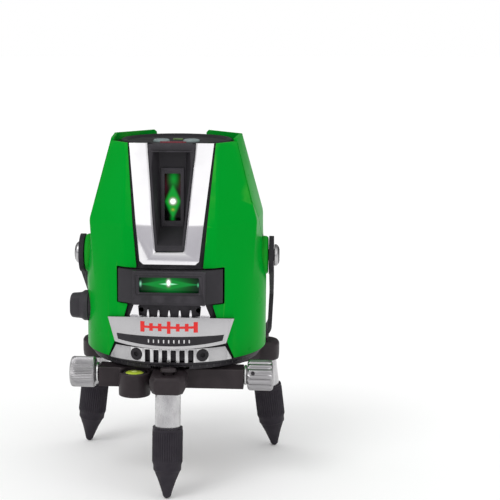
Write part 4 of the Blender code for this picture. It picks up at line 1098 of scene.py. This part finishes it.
def handle_path():
    side_end, corner_x, middle_x = 0.0900, 0.0300, 0.0650
    points = [(0.0665, 0.0), (0.06665, 0.015), (0.0667, 0.030), (0.0665, 0.045), (0.0660, 0.060), (0.0656, 0.075)]
    steps = 18
    for step in range(steps + 1):
        turn = step / steps * math.pi / 2
        x = corner_x + (middle_x - corner_x) * math.cos(turn)
        points.append((x, side_end + (HANDLE_REACH - side_end) * math.sin(turn)))
    return points + [(0.015, HANDLE_REACH), (0.0, HANDLE_REACH)]


def make_handle(rubber, bright, dark):
    path = handle_path()
    whole = path + [(-x, reach) for x, reach in reversed(path[:-1])]
    outer, inner = [], []
    for index, (x, reach) in enumerate(whole):
        before, after = whole[max(index - 1, 0)], whole[min(index + 1, len(whole) - 1)]
        along = Vector((after[0] - before[0], after[1] - before[1])).normalized()
        out = Vector((along.y, -along.x)) * HANDLE_T / 2
        outer.append((x + out.x, reach + out.y))
        inner.append((x - out.x, reach - out.y))
    band = plate(outer + inner[::-1], -HANDLE_W / 2, HANDLE_W / 2)
    for side in (-1, 1):
        flare = [
            (side * x, y, z)
            for x in (0.0650, 0.0679)
            for y, z in ((0.0, 0.0125), (0.0, -0.0125), (0.0440, 0.0043), (0.0440, -0.0043))
        ]
        join(band, rod((side * 0.0647, 0, 0), (side * 0.0681, 0, 0), 0.0134, segments=72), hull(flare))
        cut(band, rod((side * 0.060, 0, 0), (side * 0.075, 0, 0), 0.0043))
    soften(band, 0.0006, 3, angle=35)
    band.data.transform(Matrix.Translation((0, 0, HANDLE_AXIS_Z)) @ Matrix.Rotation(-HANDLE_DROP, 4, "X"))
    piece(band, "handle_strap", rubber, "carry_handle")
    for word, side in (("left", -1), ("right", 1)):
        turn = Matrix.Rotation(side * math.pi / 2, 4, "Y")
        place = Matrix.Translation((0, 0, HANDLE_AXIS_Z)) @ turn
        profile = [
            (0.00002, 0.0540), (0.0040, 0.0540), (0.0040, 0.0684), (0.0073, 0.0684), (0.0076, 0.0687), (0.0076, 0.0697),
            (0.0072, 0.0705), (0.0064, 0.0712), (0.0052, 0.0717), (0.0040, 0.0720), (0.00002, 0.0721),
        ]
        screw = turned(profile, place, 64)
        cut(screw, rod(place @ Vector((0, 0, 0.0706)), place @ Vector((0, 0, 0.080)), 0.0024, segments=6))
        soften(screw, 0.00015, 2)
        piece(screw, f"handle_screw_{word}", bright, f"handle_pivot_{word}")
        face = [
            (0.0025, 0.07195), (0.0041, 0.07205), (0.0055, 0.07170), (0.0062, 0.0713), (0.0061, 0.0708),
            (0.0025, 0.0708),
        ]
        cap = turned(face, place, 64, closed=True)
        piece(cap, f"handle_screw_face_{word}", dark, f"handle_pivot_{word}", replace=False)


# ---- base ------------------------------------------------------------------------------------------
def leg_frame(word):
    about = Matrix.Rotation(math.radians(LEG_ANGLES[word]), 4, "Z")
    tip = Matrix.Translation((0, -TIP_RADIUS_FROM_AXIS, 0))
    return about @ tip @ Matrix.Rotation(-LEG_SPLAY, 4, "X")


def placed(item, matrix):
    item.data.transform(matrix)
    return item


def boss_plan(word):
    turn = Matrix.Rotation(math.radians(LEG_ANGLES[word]), 4, "Z")
    if word == "front":
        right = [(0.0085, -0.0810), (0.0120, -0.0770), (0.0120, -0.0560)]
        return [(-x, y) for x, y in right] + [(x, y) for x, y in reversed(right)]
    points = []
    for step in range(48):
        angle = 2 * math.pi * step / 48
        point = turn @ Vector((0.0118 * math.cos(angle), -0.0702 + 0.0118 * math.sin(angle), 0))
        points.append((point.x, point.y))
    return points


def make_boss(word):
    outline = boss_plan(word)
    middle = leg_frame(word) @ Vector((0, 0, 0.078))
    low = 0.0735 if word == "front" else 0.0710
    foot = 0.84 if word == "front" else 0.96
    rings = []
    for z, wide, deep in ((low, foot, 1.0), (low + 0.0038, 1.0, 1.0), (0.0830, 1.0, 1.0), (BASE_TOP_Z, 0.88, 0.90)):
        rings.append([(middle.x + (x - middle.x) * wide, middle.y + (y - middle.y) * deep, z) for x, y in outline])
    return loft(rings)


def make_arm(word):
    turn = Matrix.Rotation(math.radians(LEG_ANGLES[word]), 4, "Z")
    corners = []
    for z_low, z_high, y, half in ((BASE_BOTTOM_Z, BASE_TOP_Z, -0.020, 0.0150), (0.0735, 0.0838, -0.066, 0.0085)):
        for x in (-half, half):
            corners += [turn @ Vector((x, y, z_low)), turn @ Vector((x, y, z_high))]
    return hull(corners)


def make_base(casting):
    item = rod((0, 0, BASE_BOTTOM_Z), (0, 0, BASE_TOP_Z), 0.0340, segments=96)
    join(item, rod((0, 0, 0.0680), (0, 0, 0.0720), 0.0210, segments=72))
    for word in LEG_ANGLES:
        join(item, make_arm(word), make_boss(word))
    join(item, block((-0.0493, BAR_Y - 0.0078, 0.0707), (0.0493, BAR_Y + 0.0078, 0.0843)))
    x, y = VIAL_XY
    join(item, rod((x, y, 0.0670), (x, y, 0.0832), VIAL_CUP_R, segments=96))
    cut(item, rod((x, y, 0.0720), (x, y, 0.0900), 0.0089, segments=72))
    cut(item, block((-0.0130, BAR_Y - 0.0052, 0.0600), (0.0130, BAR_Y + 0.0052, 0.0822)))
    cut(item, block((-0.0100, BAR_Y - 0.0036, 0.0800), (0.0100, BAR_Y + 0.0036, 0.0900)))
    cut(item, rod((-0.060, BAR_Y, SHAFT_Z), (0.060, BAR_Y, SHAFT_Z), 0.0030))
    cut(item, rod((0, 0, 0.0600), (0, 0, 0.0785), 0.0134), rod((0, 0, 0.0700), (0, 0, 0.0900), 0.0075))
    for word in LEG_ANGLES:
        socket = placed(rod((0, 0, 0.0600), (0, 0, 0.0790), POST_R + 0.0004), leg_frame(word))
        hole = placed(rod((0, 0, 0.0780), (0, 0, 0.1000), 0.0034), leg_frame(word))
        cut(item, socket, hole)
    cast(item, 0.0006, 3)
    piece(item, "base_casting", casting, "tripod_base", smooth=60)


def fluted(count, depth, low, high, sharp=1.0):
    """A radius rule that cuts this many grooves between two heights."""

    def rule(angle, radius, height):
        if not low <= height <= high:
            return radius
        groove = 0.5 - 0.5 * math.cos(count * angle)
        return radius - depth * groove**sharp

    return rule


def make_legs(metal, rubber, casting):
    for word in LEG_ANGLES:
        place = leg_frame(word)
        profile = [
            (0.00002, 0.0680), (0.0052, 0.0660), (0.0052, 0.0375), (POST_R - 0.0004, 0.0375), (POST_R, 0.0380),
            (POST_R, 0.0782), (POST_R - 0.0005, 0.0787), (0.00002, 0.0787),
        ]
        post = turned(profile, place, 96)
        piece(post, f"post_tube_{word}", metal, f"leg_post_{word}", smooth=28)
        profile = [
            (0.00002, 0.0700), (0.0030, 0.0700), (0.0030, 0.0873), (0.0050, 0.0873), (0.0052, 0.0876),
            (0.0052, 0.0892), (0.0048, 0.0898), (0.0042, 0.0900), (0.00002, 0.0900),
        ]
        bolt = turned(profile, place, 48)
        cut(bolt, placed(rod((0, 0, 0.0884), (0, 0, 0.1000), 0.0024, segments=6), place))
        soften(bolt, 0.00015, 2)
        piece(bolt, f"cap_bolt_{word}", casting, f"leg_bolt_{word}")
        top, end = SLEEVE_TOP_S, FLOOR_Z / math.cos(LEG_SPLAY) + 0.00004
        outer = [(0.00002, end)]
        for step in range(1, 7):
            turn = math.pi / 2 * step / 7
            outer.append((TIP_R * math.sin(turn), end + TIP_R - TIP_R * math.cos(turn)))
        outer += [(0.0031, end + 0.0034), (0.0058, end + 0.0116), (0.0085, 0.0212), (0.0087, 0.0217), (0.0092, 0.0221)]
        outer += [(0.0093, 0.0226), (0.0094, 0.0254), (0.0096, 0.0261), (0.0101, 0.0275)]
        grooved = [0.0280, 0.0290, 0.0300] + [0.030 + 0.0170 * step / 6 for step in range(1, 7)] + [0.0478, 0.0484]
        outer += [(SLEEVE_R, z) for z in grooved]
        outer += [(SLEEVE_R - 0.0002, 0.0490), (0.0100, top), (BORE_R, top)]
        inside = [(BORE_R, 0.0278), (0.0048, 0.0278), (0.0048, 0.0555), (0.0044, 0.0560), (0.00002, 0.0560)]
        foot = turned(outer + inside, place, 240, fluted(40, 0.00050, 0.0289, 0.0479, 1.4))
        piece(foot, f"foot_grip_{word}", rubber, f"foot_{word}", smooth=35)
        seal = [
            (0.0088, top + GAP), (0.0098, top + GAP), (0.0100, top + 0.0005), (0.0100, top + 0.0011),
            (0.0098, top + 0.0014), (0.0088, top + 0.0014),
        ]
        collar = turned(seal, place, 96, closed=True)
        piece(collar, f"foot_seal_{word}", rubber, f"foot_ring_{word}", smooth=50)


def make_vial(fluid, dark, grey, pale):
    x, y = VIAL_XY
    place = Matrix.Translation((x, y, 0))
    profile = [
        (0.00002, 0.0723), (0.0085, 0.0723), (0.0085, 0.0802), (0.0083, 0.0808), (0.0064, 0.0810), (0.0062, 0.0820),
        (0.0058, 0.0824), (0.0044, 0.0828), (0.0022, 0.0830), (0.00002, 0.0831),
    ]
    piece(turned(profile, place, 96), "vial_glass", fluid, "level_vial", smooth=50)
    profile = [
        (0.0065, 0.0809), (0.0065, 0.0822), (0.0068, 0.0826), (0.0074, 0.0824), (0.0084, 0.0812), (0.0085, 0.0806),
    ]
    piece(turned(profile, place, 96, closed=True), "vial_rim", dark, "level_vial", replace=False)
    profile = [(0.0030, 0.08285), (0.0033, 0.0828), (0.0033, 0.0823), (0.0030, 0.0823)]
    piece(turned(profile, place, 64, closed=True), "vial_circle", grey, "level_vial", replace=False)
    profile = [(0.0021, 0.0826), (0.0020, 0.0830), (0.0015, 0.08315), (0.0008, 0.0832), (0.00002, 0.08322)]
    piece(turned(profile, place, 48), "vial_bubble", pale, "level_vial", replace=False, smooth=60)


def make_dial(dark, pale):
    bottom, top = BASE_TOP_Z + GAP, 0.0883
    profile = [
        (0.0520, top), (DIAL_R - 0.0004, top), (DIAL_R, top - 0.0004), (DIAL_R, bottom + 0.0004),
        (DIAL_R - 0.0003, bottom), (0.0520, bottom),
    ]
    dial = turned(profile, steps=180, closed=True)
    cut(dial, block((-0.0130, -0.0600, 0.0830), (0.0130, -0.0450, 0.0872)))
    piece(dial, "dial_body", dark, "dial_ring")
    shape = bmesh.new()
    count = 72
    for index in range(count):
        tall = 0.0022 if index % 6 == 0 else 0.0014
        turn = Matrix.Rotation(2 * math.pi * index / count, 4, "Z")
        place = turn @ Matrix.Translation((0, -DIAL_R - 0.00002, top - 0.0003 - tall / 2))
        place = place @ Matrix.Diagonal((0.00032, 0.00016, tall, 1))
        bmesh.ops.create_cube(shape, size=1, matrix=place)
    piece(from_bmesh("dial_ticks", shape), "dial_ticks", pale, "dial_ring", replace=False)


def make_fine_adjustment(metal, steel, hole_black):
    near, far = KNOB_X
    hole_out = Vector((0, -0.93, 0.36)).normalized()
    hole_start = Vector((0.0556, BAR_Y, SHAFT_Z))
    for word, side in (("left", -1), ("right", 1)):
        place = Matrix.Translation((0, BAR_Y, SHAFT_Z)) @ Matrix.Rotation(side * math.pi / 2, 4, "Y")
        profile = [(0.00002, 0.0645), (0.0028, 0.0645), (0.0028, near), (KNOB_R - 0.0022, near)]
        profile += [(KNOB_R - 0.0010, near + 0.0004), (KNOB_R, near + 0.0016)]
        profile += [(KNOB_R, near + 0.002 + step * 0.0027) for step in range(5)]
        profile += [(KNOB_R, far - 0.0020), (KNOB_R - 0.0004, far - 0.0010), (KNOB_R - 0.0016, far - 0.0002)]
        profile += [(KNOB_R - 0.0024, far), (KNOB_R - 0.0034, far), (KNOB_R - 0.0038, far - 0.0004)]
        profile.append((0.00002, far - 0.0004))
        count, depth = (54, 0.00050) if side < 0 else (15, 0.00105)
        knob = turned(profile, place, 270, fluted(count, depth, near + 0.0010, far - 0.0015, 1.2))
        if side > 0:
            cut(knob, rod(hole_start + hole_out * 0.0088, hole_start + hole_out * 0.0130, 0.0014, segments=32))
        piece(knob, f"fluted_knob_{word}", metal, f"adjust_knob_{word}", smooth=40)
        profile = [
            (0.0028, 0.0496), (0.0062, 0.0496), (0.0068, 0.0500), (0.0068, near - GAP - 0.0004),
            (0.0062, near - GAP), (0.0028, near - GAP),
        ]
        washer = turned(profile, place, 64, closed=True)
        piece(washer, f"knob_collar_{word}", steel, f"adjust_washer_{word}")
    profile = [(0.00002, 0.0089), (0.00125, 0.0089), (0.00125, 0.0096), (0.0010, 0.0098), (0.00002, 0.0098)]
    aim = Matrix.Translation(hole_start) @ hole_out.to_track_quat("Z", "Y").to_matrix().to_4x4()
    piece(turned(profile, aim, 32), "knob_set_screw", hole_black, "adjust_knob_right", replace=False)


# ---- everything else keeps its CAD shape with a finish ------------------------------------------------
def finish_cad_nodes(finishes):
    shown = {
        "head_chassis": "black", "lock_plunger": "black", "azimuth_ring": "steel", "azimuth_spindle": "steel",
        "adjust_shaft": "steel", "adjust_nut": "brass", "tripod_thread_insert": "brass", "gimbal_yoke": "aluminium",
        "gimbal_ring": "steel", "pendulum_body": "aluminium", "vertical_laser_module": "brass",
        "horizontal_laser_module": "brass", "damping_plate": "copper", "damping_magnet": "steel",
        "circuit_board": "board", "battery_pack": "battery", "power_lamp": "lamp",
    }
    for node, finish in shown.items():
        mesh = frame["nodes"][node].data
        mesh.materials.clear()
        mesh.materials.append(finishes[finish])


def main():
    make_camera()
    make_studio()
    make_floor()
    green = green_shell()
    black = black_moulding()
    inner_black = black_moulding("charcoal_moulding", 0.026, 0.55)
    frame_black = black_moulding("window_frame_moulding", 0.046, 0.50)
    knob_black = black_moulding("lock_knob_moulding", 0.040, 0.50)
    casting = black_casting()
    bright = chrome()
    # satin plating is the chrome with a rougher finish and a darker base colour; the darker colour is painted shade for
    # the dimmer reflections on the upright badge
    satin_shaded_chrome = chrome("satin_plating_painted_shade", 0.50, 0.24)
    # dull plating is the chrome with a rougher finish and a darker base colour; the darker colour is painted shade for
    # the dimmer reflections on upright faces
    dull_shaded_chrome = chrome("dull_plating_painted_shade", 0.40, 0.26)
    metal = turned_aluminium("turned_aluminium", 0.36, 0.34)
    post_metal = turned_aluminium("post_aluminium", 0.43, 0.28, (2, 2, 0.08))
    steel = plain_metal("machined_steel", (0.60, 0.60, 0.60), 0.30)
    rubber = ribbed_rubber()
    key = pale_key()
    red = red_enamel()
    dim = ink("engraved_ink", (0.10, 0.10, 0.10), (0.07, 0.07, 0.07))
    grey_ink = ink("grey_ink", (0.10, 0.13, 0.03), (0.13, 0.16, 0.04), 0.4)
    bubble = ink("vial_bubble", (0.75, 0.85, 0.25), (0.80, 0.90, 0.35), 0.1)
    lamp = ink("lamp_lens", (0.14, 0.27, 0.07), (0.18, 0.34, 0.10), 0.15, Coat_Weight=0.6)
    make_panels(green)
    make_u_bezel(bright)
    make_vent(bright, black)
    make_badge(satin_shaded_chrome, black, red)
    make_lower_bezel(dull_shaded_chrome, black)
    make_vertical_window(black, inner_black, frame_black)
    make_horizontal_window(inner_black, black)
    make_top(black, key, ink("cap_red", (0.27, 0.045, 0.065), (0.22, 0.035, 0.050)))
    make_skirt(black)
    make_lock_knob(knob_black)
    make_battery_door(black)
    make_handle(rubber, dull_shaded_chrome, black)
    make_base(casting)
    make_legs(post_metal, rubber, casting)
    make_vial(vial_fluid(), black, grey_ink, bubble)
    make_dial(black, dim)
    make_fine_adjustment(metal, steel, black)
    finish_cad_nodes({
        "black": black,
        "steel": steel,
        "aluminium": metal,
        "brass": plain_metal("machined_brass", (0.75, 0.55, 0.25), 0.28),
        "copper": plain_metal("copper", (0.80, 0.42, 0.28), 0.28),
        "board": circuit_green(),
        "battery": battery_wrap(),
        "lamp": lamp,
    })


main()
